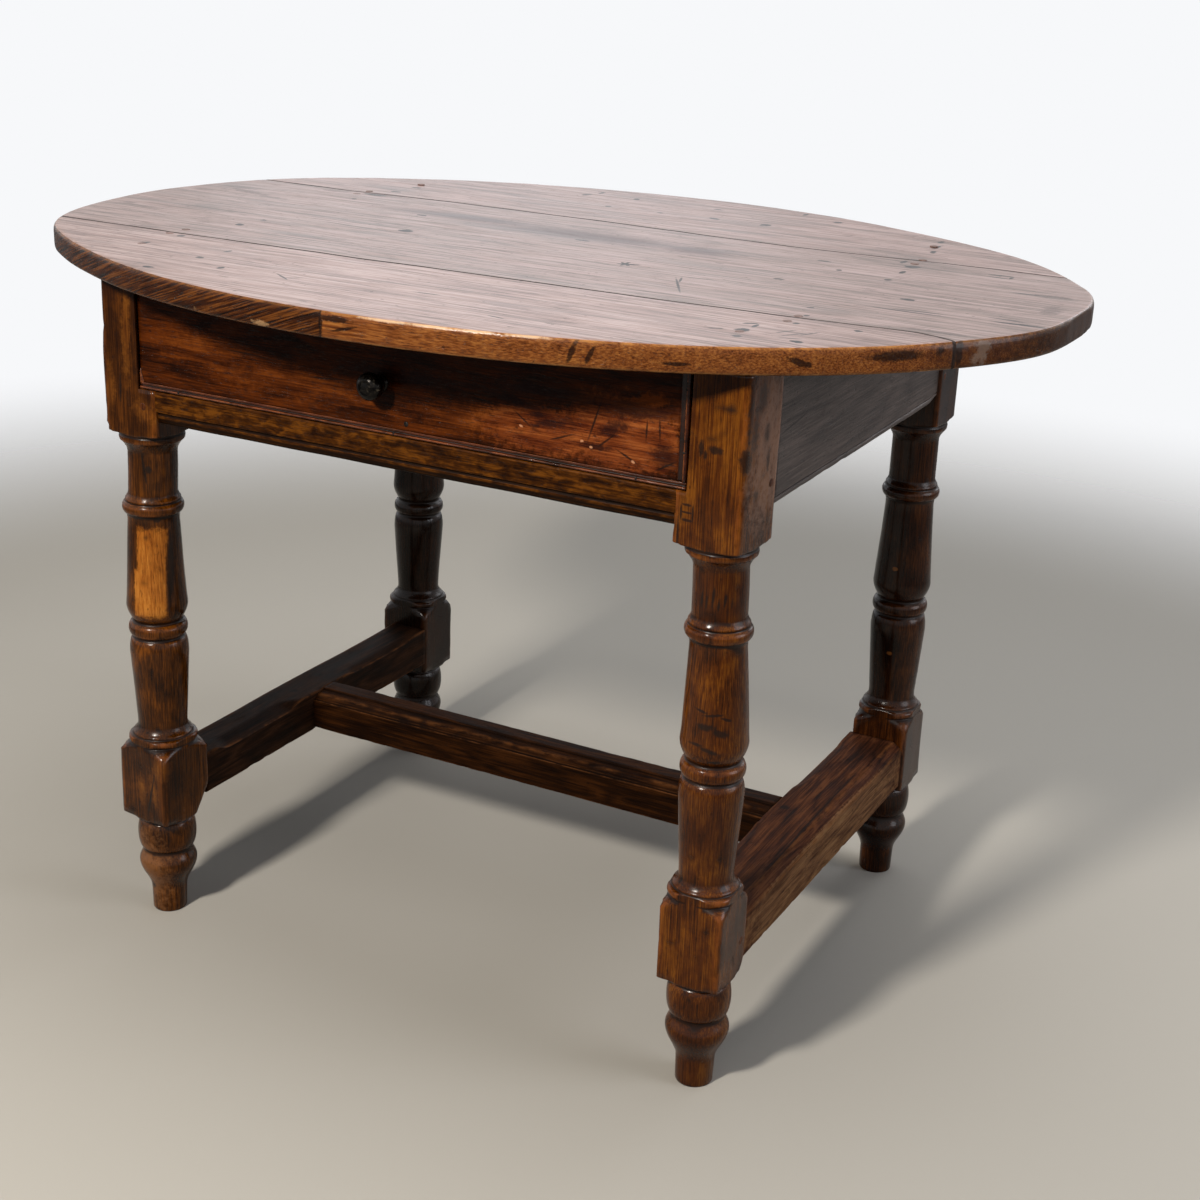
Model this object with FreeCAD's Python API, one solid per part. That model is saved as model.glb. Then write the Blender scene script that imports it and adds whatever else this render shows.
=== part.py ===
import FreeCAD, Part
import math
import os

# Tavern table: an oval top of three boards on four turned legs, with an H
# stretcher and one drawer in the front.
# Millimetres.  X runs along the drawer front, +Y to the back, Z up.  The
# origin is on the floor, under the middle of the top.

V = FreeCAD.Vector

# ---- whole table ---------------------------------------------------------
table_height = 740.0
top_length = 1090.0          # long axis of the oval
top_width = 796.0            # short axis of the oval
top_thickness = 24.5
top_edge_round = 4.0         # worn edge of the top, above and below
front_joint_y = -177.0       # joint between front and middle board
back_joint_y = 155.0         # joint between middle and back board
leg_spacing_x = 645.0        # between leg axes
leg_spacing_y = 505.0

# ---- legs ----------------------------------------------------------------
leg_stock = 64.0             # square section of the blocks
leg_arris = 1.5              # softened corners of the blocks
foot_radius = 18.3
ankle_radius = 19.2
ankle_height = 26.0
low_ball_radius = 31.2
low_ball_height = 64.0
high_ball_radius = 31.4
high_ball_height = 95.5
ball_groove_radius = 26.3
ball_groove_height = 77.0
neck_height = 114.0          # top of the foot, where the block begins
neck_rise = 4.0              # from the foot's neck to the first shoulder
neck_step = 3.0
lower_block_top = 205.5
shoulder_rise = 13.0         # how far the block corners are turned away
shoulder_cut = 4.5           # depth of the turning halfway up such a corner
base_ring_radius = 36.3
base_ring_size = 7.7
base_ring_quirk = 4.0        # step from the base ring down to the cove
base_cove_height = 14.0
lower_waist_radius = 26.1
lower_shoulder_radius = 31.3
lower_shoulder_drop = 20.0   # where the shaft meets its shoulder, under the ring
mid_ring_radius = 30.7
mid_ring_drop = 215.2        # from the upper block down to the ring's middle
mid_ring_size = 15.5
vase_radius = 32.0
vase_drop = 188.0            # from the upper block down to the widest place
vase_neck_radius = 26.4
upper_ring_radius = 31.3
upper_ring_drop = 80.2
upper_ring_size = 13.5
upper_ring_fillet = 2.3
upper_neck_radius = 25.3
upper_cove_height = 11.0
collar_radius = 33.0
collar_size = 6.5
upper_block_length = 164.5

# ---- rails under the top -------------------------------------------------
drawer_space = 114.5         # height between the front rail and the top
front_rail_height = 34.5
front_rail_depth = 40.0
front_rail_inset = 1.5       # behind the front faces of the legs
rail_moulding_height = 13.0
rail_quirk = 1.6
rail_moulding_depth = 6.0
side_rail_height = 132.5
side_rail_thickness = 24.0
side_rail_inset = 3.0        # inside the outer faces of the legs
bead_size = 5.0              # bead run along the bottom of side and back rails
bead_quirk = 1.5
tenon_thickness = 10.0
rail_tenon_length = 34.0
rail_tenon_shoulder = 6.0    # above and below the tenon
haunch = 24.0                # side rail tenons stop this far below the top

# ---- stretchers ----------------------------------------------------------
stretcher_height = 180.0     # top of all three stretchers above the floor
left_stretcher_height = 47.0  # the two side stretchers are not quite alike
left_stretcher_width = 57.5
right_stretcher_height = 55.0
right_stretcher_width = 64.0
side_stretcher_inset = 3.0
outer_chamfer_width = 11.0
outer_chamfer_drop = 8.0
left_wear_width = 15.0       # foot wear on the inner top corners
right_wear_width = 11.0
wear_drop = 6.0
wear_start = 22.0            # distance from the leg
wear_run_out = 22.0
wear_start_share = 0.02      # share of the full wear where it begins
wear_stop = 50.0             # distance from the cross stretcher's axis
cross_stretcher_height = 44.0
cross_stretcher_depth = 42.0
ovolo_width = 20.0
ovolo_drop = 8.5
ovolo_quirk = 2.0
ovolo_fillet = 2.5
ovolo_crown_drop = 3.4       # at the middle of the ovolo
stretcher_tenon_thickness = 14.0
stretcher_tenon_height = 32.0
stretcher_tenon_length = 36.0

# ---- drawer --------------------------------------------------------------
leg_rebate_left = 20.0       # width cut into the left leg for the drawer lip
leg_rebate_right = 12.0
drawer_gap_left = 1.0        # gap beside the lip
drawer_gap_right = 3.0
drawer_gap_bottom = 0.8
drawer_gap_top = 2.5
drawer_face_inset = 3.0      # drawer face behind the front of the legs
drawer_front_thickness = 22.0
lip_thickness = 12.0
lip_clearance = 0.5
drawer_length = 500.0        # from the drawer face to the back of the sides
drawer_side_thickness = 12.0
drawer_side_room = 16.2      # between the sides and the top
drawer_side_gap = 2.0        # between a side and the leg beside it
drawer_back_thickness = 12.0
drawer_back_drop = 8.0       # back lower than the sides
tail_length = 14.0
tail_share = 0.72            # width of a tail's tip, as a share of the pitch
tail_slope = 2.6             # how much a tail widens on each side
tail_count = 3
bottom_thickness = 8.0
bottom_height = 10.0         # groove above the lower edge of the sides
groove_depth = 5.0
groove_clearance = 0.2
bottom_bead_height = 7.0
side_bead_width = 9.0
bead_seat_depth = 3.0        # beads are let into the face this far
bead_projection = 2.6
bead_fillet_height = 0.4
bead_fillet_share = 0.25     # of the bead's width
bead_gap = 0.1
stub_height = 15.0           # what is left of the broken left bead
stub_width = 4.5
knob_x = -21.0
knob_drop = 7.4              # below the middle of the drawer front
lone_nail_x = 7.0            # lone nail in the drawer face
lone_nail_rise = 6.0         # above the bottom bead
lone_nail_length = 16.0
knob_radius = 13.5
knob_foot_radius = 8.5
knob_foot_thickness = 1.5
knob_neck_radius = 6.5
knob_neck_length = 9.0
knob_length = 27.0
knob_face_dish = 1.2
shank_radius = 4.5

# ---- runners and guides --------------------------------------------------
runner_thickness = 20.0
runner_width = 27.0          # under the drawer, beside the leg
runner_stub = 9.0            # short tenons in front and back rail
runner_stub_thickness = 10.0
guide_height = 20.0
slide_clearance = 0.3

# ---- pegs and nails ------------------------------------------------------
top_peg_radius = 4.5
top_peg_length = 58.0
top_peg_joint_offset = 12.5  # distance from a board joint
rail_peg_radius = 4.0
stretcher_peg_radius = 4.5
peg_depth = 48.0
peg_inset = 13.0             # peg axis from the shoulder of the tenon
nail_radius = 1.4
nail_head_radius = 2.8
nail_head_height = 1.2
nail_length = 22.0
bead_nail_length = 9.0
fit = 0.1                    # clearance round tenons, tails and pegs
over = 1.0                   # how far a cutting shape reaches past the wood
flat_sweep = 48.0            # widest turn of an arc between two of its flats, in degrees

# ---- worked out from the sizes above -------------------------------------
top_underside = table_height - top_thickness
upper_block_bottom = top_underside - upper_block_length
mid_ring_height = upper_block_bottom - mid_ring_drop
vase_height = upper_block_bottom - vase_drop
upper_ring_height = upper_block_bottom - upper_ring_drop
half_stock = leg_stock / 2
leg_x = leg_spacing_x / 2
leg_y = leg_spacing_y / 2
leg_outer_x = leg_x + half_stock
leg_inner_x = leg_x - half_stock
leg_outer_y = leg_y + half_stock
leg_inner_y = leg_y - half_stock
front_rail_top = top_underside - drawer_space
front_rail_bottom = front_rail_top - front_rail_height
side_rail_bottom = top_underside - side_rail_height
front_rail_face = -leg_outer_y + front_rail_inset
front_rail_back = front_rail_face + front_rail_depth
side_rail_outer = leg_outer_x - side_rail_inset
side_rail_inner = side_rail_outer - side_rail_thickness
side_rail_middle = (side_rail_outer + side_rail_inner) / 2
back_rail_outer = leg_outer_y - side_rail_inset
back_rail_inner = back_rail_outer - side_rail_thickness
back_rail_middle = (back_rail_outer + back_rail_inner) / 2
stretcher_outer = leg_outer_x - side_stretcher_inset
left_stretcher_inner = stretcher_outer - left_stretcher_width
right_stretcher_inner = stretcher_outer - right_stretcher_width
cross_bottom = stretcher_height - cross_stretcher_height
cross_front = -cross_stretcher_depth / 2
cross_back = cross_stretcher_depth / 2
opening_left = -leg_inner_x - leg_rebate_left
opening_right = leg_inner_x + leg_rebate_right
lip_left = opening_left + drawer_gap_left
lip_right = opening_right - drawer_gap_right
face_y = -leg_outer_y + drawer_face_inset
lip_back = face_y + lip_thickness
front_back = face_y + drawer_front_thickness
front_bottom = front_rail_top + drawer_gap_bottom
front_top = top_underside - drawer_gap_top
knob_z = (front_bottom + front_top) / 2 - knob_drop
side_outer = leg_inner_x - drawer_side_gap
side_inner = side_outer - drawer_side_thickness
side_bottom = front_rail_top + slide_clearance
side_top = top_underside - drawer_side_room
drawer_end = face_y + drawer_length
groove_bottom = side_bottom + bottom_height
groove_top = groove_bottom + bottom_thickness
runner_top = front_rail_top
runner_bottom = runner_top - runner_thickness
runner_edge = side_outer - runner_width


# ---- building blocks -----------------------------------------------------
def box(x, y, z):
    """Box between the two values given for each axis."""
    x, y, z = sorted(x), sorted(y), sorted(z)
    return Part.makeBox(x[1] - x[0], y[1] - y[0], z[1] - z[0], V(x[0], y[0], z[0]))


def grown(x, y, z, by):
    """Box like box(), larger by a clearance on every side."""
    x, y, z = sorted(x), sorted(y), sorted(z)
    return box((x[0] - by, x[1] + by), (y[0] - by, y[1] + by), (z[0] - by, z[1] + by))


def prism(points, way):
    """Closed outline of points, pushed along the vector way."""
    wire = Part.makePolygon([V(*p) for p in points] + [V(*points[0])])
    return Part.Face(wire).extrude(V(*way))


def split_rod(start, way, radius, length, sides=8):
    """Rod split out by hand, of as many flat sides; way lies along an axis."""
    start, way = V(*start), V(*way)
    across = V(way.z, way.x, way.y)
    up = way.cross(across)
    turns = [2 * math.pi * (i + 0.5) / sides for i in range(sides)]
    corners = [start + (across * math.cos(t) + up * math.sin(t)) * radius for t in turns]
    return Part.Face(Part.makePolygon(corners + corners[:1])).extrude(way * length)


def mirror_x(shape):
    return shape.mirror(V(0, 0, 0), V(1, 0, 0))


def cut_all(shape, tools):
    return shape.cut(Part.makeCompound(tools)) if tools else shape


class Outline:
    """Chain of straight runs in the plane of two axes, by default radius and Z."""

    def __init__(self, first, place=lambda a, b: V(a, 0, b)):
        self.place = place
        self.first = first
        self.last = first
        self.edges = []

    def line(self, a, b):
        self.edges.append(Part.LineSegment(self.place(*self.last), self.place(a, b)).toShape())
        self.last = (a, b)
        return self

    def arc(self, via, to):
        """Arc through a point, cut as short flats so that the solid keeps few faces."""
        (a0, b0), (a1, b1), (a2, b2) = self.last, via, to
        curve = Part.Arc(V(a0, b0, 0), V(a1, b1, 0), V(a2, b2, 0))
        sweep = curve.LastParameter - curve.FirstParameter
        flats = max(2, math.ceil(sweep / math.radians(flat_sweep)))
        for point in curve.discretize(flats + 1)[1:-1]:
            self.line(point.x, point.y)
        return self.line(*to)

    def swell(self, to, flat="end"):
        """Arc upright at its start or end, as a turner rolls a bead or cuts a cove."""
        (a0, b0), (a1, b1) = self.last, to
        if flat == "start":
            a_up, b_up, a_far, b_far = a0, b0, a1, b1
        else:
            a_up, b_up, a_far, b_far = a1, b1, a0, b0
        across, along = a_far - a_up, b_far - b_up
        radius = (across ** 2 + along ** 2) / (2 * abs(across))
        half = along / 2
        dip = radius - math.sqrt(radius ** 2 - half ** 2)
        via = (a_up + math.copysign(dip, across), b_up + half)
        return self.arc(via, to)

    def face(self):
        if self.last != self.first:
            self.line(*self.first)
        return Part.Face(Part.Wire(self.edges))


# ---- legs ----------------------------------------------------------------
def turned_outline():
    """Half section of a leg, from the floor to the underside of the top."""
    corner = leg_stock * math.sqrt(0.5) + over
    halfway = corner - shoulder_cut
    o = Outline((0.0, 0.0))
    # tapered foot and the two balls
    o.line(foot_radius, 0.0).line(ankle_radius, ankle_height)
    middle = ((ankle_radius + low_ball_radius) / 2, (ankle_height + low_ball_height) / 2)
    o.swell(middle, flat="start").swell((low_ball_radius, low_ball_height))
    o.swell((ball_groove_radius, ball_groove_height), flat="start")
    o.arc((high_ball_radius, high_ball_height), (ball_groove_radius, neck_height))
    # lower block, its corners turned away at both ends
    block_start = neck_height + neck_rise
    o.line(ball_groove_radius + neck_step, block_start)
    o.line(halfway, block_start + shoulder_rise / 3).line(corner, block_start + shoulder_rise)
    o.line(corner, lower_block_top - shoulder_rise)
    o.line(halfway, lower_block_top - shoulder_rise / 3).line(base_ring_radius, lower_block_top)
    # base ring and cove
    ring_top = lower_block_top + base_ring_size
    o.line(base_ring_radius, ring_top - base_ring_size / 3)
    o.line(base_ring_radius - base_ring_quirk, ring_top)
    o.swell((lower_waist_radius, ring_top + base_cove_height))
    # lower shaft, widening to a shoulder below the middle ring
    ring_low = mid_ring_height - mid_ring_size / 2
    ring_high = mid_ring_height + mid_ring_size / 2
    o.line(lower_shoulder_radius, ring_low - lower_shoulder_drop)
    o.swell((vase_neck_radius, ring_low), flat="start")
    o.arc((mid_ring_radius, mid_ring_height), (vase_neck_radius, ring_high))
    # vase
    upper_low = upper_ring_height - upper_ring_size / 2
    upper_high = upper_ring_height + upper_ring_size / 2
    o.swell((vase_radius, vase_height)).line(vase_neck_radius, upper_low)
    # upper ring, neck and cove
    o.arc((upper_ring_radius, upper_ring_height), (upper_neck_radius + upper_ring_fillet, upper_high))
    o.line(upper_neck_radius, upper_high + upper_ring_fillet * 3)
    collar_low = upper_block_bottom - collar_size
    o.line(upper_neck_radius, collar_low - upper_cove_height)
    o.swell((collar_radius, collar_low), flat="start")
    # collar and upper block
    o.line(collar_radius, upper_block_bottom)
    o.line(halfway, upper_block_bottom + shoulder_rise / 4)
    o.line(corner, upper_block_bottom + shoulder_rise * 0.8)
    o.line(corner, top_underside).line(0.0, top_underside)
    return o.face()


def square_stock():
    """Squared stock of a leg with its arrises taken off, standing on the floor."""
    stock = box((-half_stock, half_stock), (-half_stock, half_stock), (0, top_underside))
    uprights = [e for e in stock.Edges if abs(e.BoundBox.ZLength - top_underside) < 0.01]
    return stock.makeChamfer(leg_arris, uprights)


def turned_leg():
    turned = turned_outline().revolve(V(0, 0, 0), V(0, 0, 1), 360)
    return turned.common(square_stock())


def drawer_rebate(side):
    """Seat of the drawer lip in a front leg; side is -1 for the left leg, 1 for the right."""
    width = leg_rebate_left if side < 0 else leg_rebate_right
    x = (side * (leg_inner_x - over), side * (leg_inner_x + width))
    y = (-leg_outer_y - over, lip_back + lip_clearance)
    return box(x, y, (front_rail_top, top_underside + over))


# ---- rails ---------------------------------------------------------------
def front_rail_tenon(side, by=0.0):
    middle = (front_rail_face + front_rail_back) / 2
    x = (side * leg_inner_x, side * (leg_inner_x + rail_tenon_length))
    y = (middle - tenon_thickness / 2, middle + tenon_thickness / 2)
    z = (front_rail_bottom + rail_tenon_shoulder, front_rail_top - rail_tenon_shoulder)
    return grown(x, y, z, by)


def side_rail_tenon(side, end, by=0.0):
    middle = side * side_rail_middle
    x = (middle - tenon_thickness / 2, middle + tenon_thickness / 2)
    y = (end * leg_inner_y, end * (leg_inner_y + rail_tenon_length))
    return grown(x, y, (side_rail_bottom + rail_tenon_shoulder, top_underside - haunch), by)


def back_rail_tenon(side, by=0.0):
    x = (side * leg_inner_x, side * (leg_inner_x + rail_tenon_length))
    y = (back_rail_middle - tenon_thickness / 2, back_rail_middle + tenon_thickness / 2)
    return grown(x, y, (side_rail_bottom + rail_tenon_shoulder, top_underside - haunch), by)


def front_rail():
    """Low rail under the drawer, moulded along its lower front edge."""
    band = front_rail_bottom + rail_moulding_height
    back = (front_rail_back, front_rail_bottom)
    o = Outline((front_rail_face, front_rail_top), place=lambda y, z: V(-leg_inner_x, y, z))
    o.line(front_rail_face, band).line(front_rail_face + rail_quirk, band)
    o.arc((front_rail_face + rail_moulding_depth * 0.45, band - rail_moulding_height * 0.65),
          (front_rail_face + rail_moulding_depth, front_rail_bottom))
    o.line(*back).line(front_rail_back, front_rail_top)
    rail = o.face().extrude(V(2 * leg_inner_x, 0, 0))
    rail = rail.fuse([front_rail_tenon(-1), front_rail_tenon(1)])
    tools = [runner_stub_end(s, "front", fit) for s in (-1, 1)] + rail_peg_bores()
    return cut_all(rail.removeSplitter(), tools)


def beaded_board(length_from, length_to, place):
    """Deep rail on edge; place(depth, z) maps its section, the face at depth 0."""
    quirk_z = side_rail_bottom + bead_size
    o = Outline((0.0, top_underside), place=place)
    o.line(0.0, quirk_z + bead_quirk).line(bead_quirk, quirk_z)
    o.arc((0.0, quirk_z - bead_size * 0.55), (bead_quirk, side_rail_bottom))
    o.line(side_rail_thickness, side_rail_bottom).line(side_rail_thickness, top_underside)
    return o.face().extrude(length_to - length_from)


def side_rail():
    """Right side rail, beaded along its lower outer edge."""
    start, stop = V(0, -leg_inner_y, 0), V(0, leg_inner_y, 0)
    board = beaded_board(start, stop, lambda d, z: V(side_rail_outer - d, -leg_inner_y, z))
    board = board.fuse([side_rail_tenon(1, -1), side_rail_tenon(1, 1)]).removeSplitter()
    return cut_all(board, rail_peg_bores() + top_peg_bores())


def back_rail():
    start, stop = V(-leg_inner_x, 0, 0), V(leg_inner_x, 0, 0)
    board = beaded_board(start, stop, lambda d, z: V(-leg_inner_x, back_rail_outer - d, z))
    board = board.fuse([back_rail_tenon(-1), back_rail_tenon(1)]).removeSplitter()
    return cut_all(board, rail_peg_bores() + [runner_stub_end(s, "back", fit) for s in (-1, 1)])


# ---- runners and guides --------------------------------------------------
def runner_stub_end(side, end, by=0.0):
    """Short tenon of a drawer runner, in the front or the back rail."""
    middle = (runner_top + runner_bottom) / 2
    x = (side * runner_edge, side * (leg_inner_x - drawer_side_gap))
    if end == "front":
        y = (front_rail_back - runner_stub, front_rail_back)
    else:
        y = (back_rail_inner, back_rail_inner + runner_stub)
    z = (middle - runner_stub_thickness / 2, middle + runner_stub_thickness / 2)
    return grown(x, y, z, by)


def runner():
    """Right drawer runner, notched round the legs at both ends."""
    z = (runner_bottom, runner_top)
    between_legs = box((runner_edge, side_rail_inner), (-leg_inner_y, leg_inner_y), z)
    beside_legs = box((runner_edge, side_outer), (front_rail_back, back_rail_inner), z)
    stubs = [runner_stub_end(1, "front"), runner_stub_end(1, "back")]
    body = between_legs.fuse([beside_legs] + stubs).removeSplitter()
    return cut_all(body, guide_nail_bores())


def guide():
    """Right guide strip, nailed on the runner beside the drawer."""
    z = (runner_top, runner_top + guide_height)
    strip = box((leg_inner_x, side_rail_inner), (-leg_inner_y, leg_inner_y), z)
    return cut_all(strip, guide_nail_bores())


def guide_nail_places():
    x = (leg_inner_x + side_rail_inner) / 2
    return [(x, y) for y in (-leg_inner_y * 0.8, 0.0, leg_inner_y * 0.8)]


def guide_nail_bores():
    start = runner_top + guide_height - nail_length - nail_head_height
    length = nail_length + nail_head_height + over
    return [split_rod((x, y, start), (0, 0, 1), nail_radius + fit, length, sides=4)
            for x, y in guide_nail_places()]


# ---- stretchers ----------------------------------------------------------
def side_stretcher_sizes(side):
    """Inner face (distance from the middle), bottom and wear of one side stretcher."""
    if side < 0:
        return left_stretcher_inner, stretcher_height - left_stretcher_height, left_wear_width
    return right_stretcher_inner, stretcher_height - right_stretcher_height, right_wear_width


def side_stretcher_tenon(side, end, by=0.0):
    inner, bottom, _ = side_stretcher_sizes(side)
    middle = side * (stretcher_outer + inner) / 2
    z_middle = (stretcher_height + bottom) / 2
    x = (middle - stretcher_tenon_thickness / 2, middle + stretcher_tenon_thickness / 2)
    y = (end * leg_inner_y, end * (leg_inner_y + stretcher_tenon_length))
    z = (z_middle - stretcher_tenon_height / 2, z_middle + stretcher_tenon_height / 2)
    return grown(x, y, z, by)


def cross_tenon(side, by=0.0):
    inner = side_stretcher_sizes(side)[0]
    x = (side * inner, side * (inner + stretcher_tenon_length))
    y = (-stretcher_tenon_thickness / 2, stretcher_tenon_thickness / 2)
    z = (cross_bottom + rail_tenon_shoulder, stretcher_height - rail_tenon_shoulder * 2)
    return grown(x, y, z, by)


def wear_cut(side, end):
    """Worn inner top corner between a leg and the cross stretcher, with sloping ends."""
    inner, _, width = side_stretcher_sizes(side)
    y_leg = end * (leg_inner_y - wear_start)
    y_mid = end * wear_stop
    run_out = end * wear_run_out
    sections = []
    stations = ((y_leg, wear_start_share), (y_leg - run_out, 1.0),
                (y_mid + run_out, 1.0), (y_mid, wear_start_share))
    outside = side * (inner - over)
    for y, depth in stations:
        low = stretcher_height - wear_drop * depth
        reach = side * (inner + width * depth)
        points = [V(outside, y, stretcher_height + over), V(reach, y, stretcher_height + over),
                  V(reach, y, stretcher_height), V(side * inner, y, low), V(outside, y, low)]
        sections.append(Part.makePolygon(points + points[:1]))
    return Part.makeLoft(sections, True, True)


def side_stretcher(side):
    """Side stretcher: outer top corner chamfered, inner one worn by feet."""
    inner, bottom, _ = side_stretcher_sizes(side)
    o = Outline((inner, bottom), place=lambda x, z: V(side * x, -leg_inner_y, z))
    o.line(stretcher_outer, bottom)
    o.line(stretcher_outer, stretcher_height - outer_chamfer_drop)
    o.line(stretcher_outer - outer_chamfer_width, stretcher_height)
    o.line(inner, stretcher_height)
    bar = o.face().extrude(V(0, 2 * leg_inner_y, 0))
    bar = bar.cut([wear_cut(side, -1), wear_cut(side, 1)])
    tenons = [side_stretcher_tenon(side, -1), side_stretcher_tenon(side, 1)]
    bar = bar.fuse(tenons).removeSplitter()
    return cut_all(bar, [cross_tenon(side, fit)] + stretcher_peg_bores())


def cross_stretcher():
    """Stretcher between the side stretchers, with an ovolo along its front top edge."""
    arris = stretcher_height - ovolo_drop
    quirk_y = cross_front + ovolo_width
    o = Outline((cross_front, cross_bottom), place=lambda y, z: V(-left_stretcher_inner, y, z))
    o.line(cross_front, arris).line(cross_front + ovolo_fillet, arris + ovolo_fillet / 2)
    o.arc(((cross_front + quirk_y) / 2, stretcher_height - ovolo_crown_drop),
          (quirk_y - ovolo_quirk / 2, stretcher_height - ovolo_quirk))
    o.line(quirk_y, stretcher_height - ovolo_quirk).line(quirk_y, stretcher_height)
    o.line(cross_back, stretcher_height).line(cross_back, cross_bottom)
    bar = o.face().extrude(V(left_stretcher_inner + right_stretcher_inner, 0, 0))
    bar = bar.fuse([cross_tenon(-1), cross_tenon(1)]).removeSplitter()
    return cut_all(bar, stretcher_peg_bores())


# ---- pegs ----------------------------------------------------------------
def rail_pegs(by=0.0):
    """Pegs through the leg faces into the tenons of all four rails."""
    pegs = []
    deep_z = [side_rail_bottom + rail_tenon_shoulder * 4, top_underside - haunch * 2]
    front_z = (front_rail_bottom + front_rail_top) / 2
    for side in (-1, 1):
        across = side * (leg_inner_x + peg_inset)
        pegs.append(split_rod((across, -leg_outer_y - by, front_z), (0, 1, 0),
                        rail_peg_radius + by, peg_depth + 2 * by))
        for z in deep_z:
            pegs.append(split_rod((across, leg_outer_y + by, z), (0, -1, 0),
                            rail_peg_radius + by, peg_depth + 2 * by))
            for end in (-1, 1):
                along = end * (leg_inner_y + peg_inset)
                pegs.append(split_rod((side * (leg_outer_x + by), along, z), (-side, 0, 0),
                                rail_peg_radius + by, peg_depth + 2 * by))
    return pegs


def rail_peg_bores():
    return rail_pegs(fit)


def stretcher_pegs(by=0.0):
    """Pegs through the legs' side faces, and down through the side stretchers."""
    pegs = []
    for side in (-1, 1):
        inner, bottom, _ = side_stretcher_sizes(side)
        z = (stretcher_height + bottom) / 2
        for end in (-1, 1):
            along = end * (leg_inner_y + peg_inset)
            pegs.append(split_rod((side * (leg_outer_x + by), along, z), (-side, 0, 0),
                            stretcher_peg_radius + by, peg_depth + 2 * by))
        across = side * (inner + peg_inset + rail_tenon_shoulder)
        depth = stretcher_height - cross_bottom - rail_tenon_shoulder / 2
        pegs.append(split_rod((across, 0, stretcher_height + by), (0, 0, -1),
                        stretcher_peg_radius + by, depth + 2 * by))
    return pegs


def stretcher_peg_bores():
    return stretcher_pegs(fit)


def top_peg_places():
    """Pegs stand over the legs and over the side rails beside each board joint."""
    joints = [y + s * top_peg_joint_offset for y in (front_joint_y, back_joint_y) for s in (-1, 1)]
    places = []
    for side in (-1, 1):
        places += [(side * leg_x, -leg_y), (side * leg_x, leg_y)]
        places += [(side * side_rail_middle, y) for y in joints]
    return places


def top_pegs(by=0.0):
    radius, length = top_peg_radius + by, top_peg_length + 2 * by
    return [split_rod((x, y, table_height + by), (0, 0, -1), radius, length)
            for x, y in top_peg_places()]


def top_peg_bores():
    return top_pegs(fit)


# ---- top -----------------------------------------------------------------
def whole_top():
    """Oval top with worn, rounded edges, before it is parted into boards."""
    softened = top_edge_round * (1 - math.sqrt(0.5))
    edge = [(top_edge_round, 0.0), (softened, softened), (0.0, top_edge_round)]
    edge += [(inset, top_thickness - rise) for inset, rise in reversed(edge)]
    rings = []
    for inset, rise in edge:
        z = top_underside + rise
        oval = Part.Ellipse(V(top_length / 2 - inset, 0, z), V(0, top_width / 2 - inset, z), V(0, 0, z))
        rings.append(Part.Wire(oval.toShape()))
    return Part.makeLoft(rings, True, True)


def top_board(whole, y_from, y_to):
    half = top_length / 2 + over
    board = whole.common(box((-half, half), (y_from, y_to), (top_underside - over, table_height + over)))
    return cut_all(board, top_peg_bores())


# ---- drawer --------------------------------------------------------------
def tails(x, y_root, y_tip, z_from, z_to, by=0.0):
    """Dovetails of a drawer side: wedges that widen from root to tip."""
    pitch = (z_to - z_from) / tail_count
    way = 1 if y_tip > y_root else -1
    shapes = []
    for i in range(tail_count):
        z = z_from + pitch * (i + 0.5)
        tip = pitch * tail_share / 2 + by
        root = tip - tail_slope
        y0, y1 = y_root - way * by, y_tip + way * by
        points = [(x[0] - by, y0, z - root), (x[0] - by, y1, z - tip),
                  (x[0] - by, y1, z + tip), (x[0] - by, y0, z + root)]
        shapes.append(prism(points, (x[1] - x[0] + 2 * by, 0, 0)))
    return shapes


def front_tails(side, by=0.0):
    x = sorted((side * side_inner, side * side_outer))
    return tails(x, front_back, front_back - tail_length, side_bottom, side_top, by)


def back_tails(side, by=0.0):
    x = sorted((side * side_inner, side * side_outer))
    root = drawer_end - drawer_back_thickness
    return tails(x, root, drawer_end, groove_top, side_top - drawer_back_drop, by)


def drawer_front():
    """Lipped drawer front with lap dovetail sockets and seats for the beads."""
    lip = box((lip_left, lip_right), (face_y, lip_back), (front_bottom, front_top))
    body = box((-side_outer, side_outer), (lip_back, front_back), (front_bottom, front_top))
    tools = front_tails(-1, fit) + front_tails(1, fit)
    tools.append(grown((-side_inner, side_inner), (front_back - groove_depth, front_back + over),
                       (groove_bottom, groove_top), groove_clearance))
    seat = (face_y - over, face_y + bead_seat_depth)
    tools.append(box((lip_left - over, lip_right + over), seat,
                     (front_bottom - over, front_bottom + bottom_bead_height)))
    for edge, inward in ((lip_left, 1), (lip_right, -1)):
        x = (edge - inward * over, edge + inward * side_bead_width)
        tools.append(box(x, seat, (front_bottom, front_top + over)))
    tools.append(knob_hole())
    tools += face_nail_bores()
    return cut_all(lip.fuse(body).removeSplitter(), tools)


def drawer_side(side):
    """Drawer side with dovetails at both ends and a groove for the bottom."""
    x = (side * side_inner, side * side_outer)
    root = drawer_end - drawer_back_thickness
    board = box(x, (front_back, root), (side_bottom, side_top))
    below_back = box(x, (root, drawer_end), (side_bottom, groove_top))
    pieces = front_tails(side) + back_tails(side) + [below_back]
    board = board.fuse(pieces).removeSplitter()
    groove = grown((side * side_inner, side * (side_inner + groove_depth)),
                   (front_back - tail_length - over, drawer_end + over),
                   (groove_bottom, groove_top), groove_clearance)
    return board.cut(groove)


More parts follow.
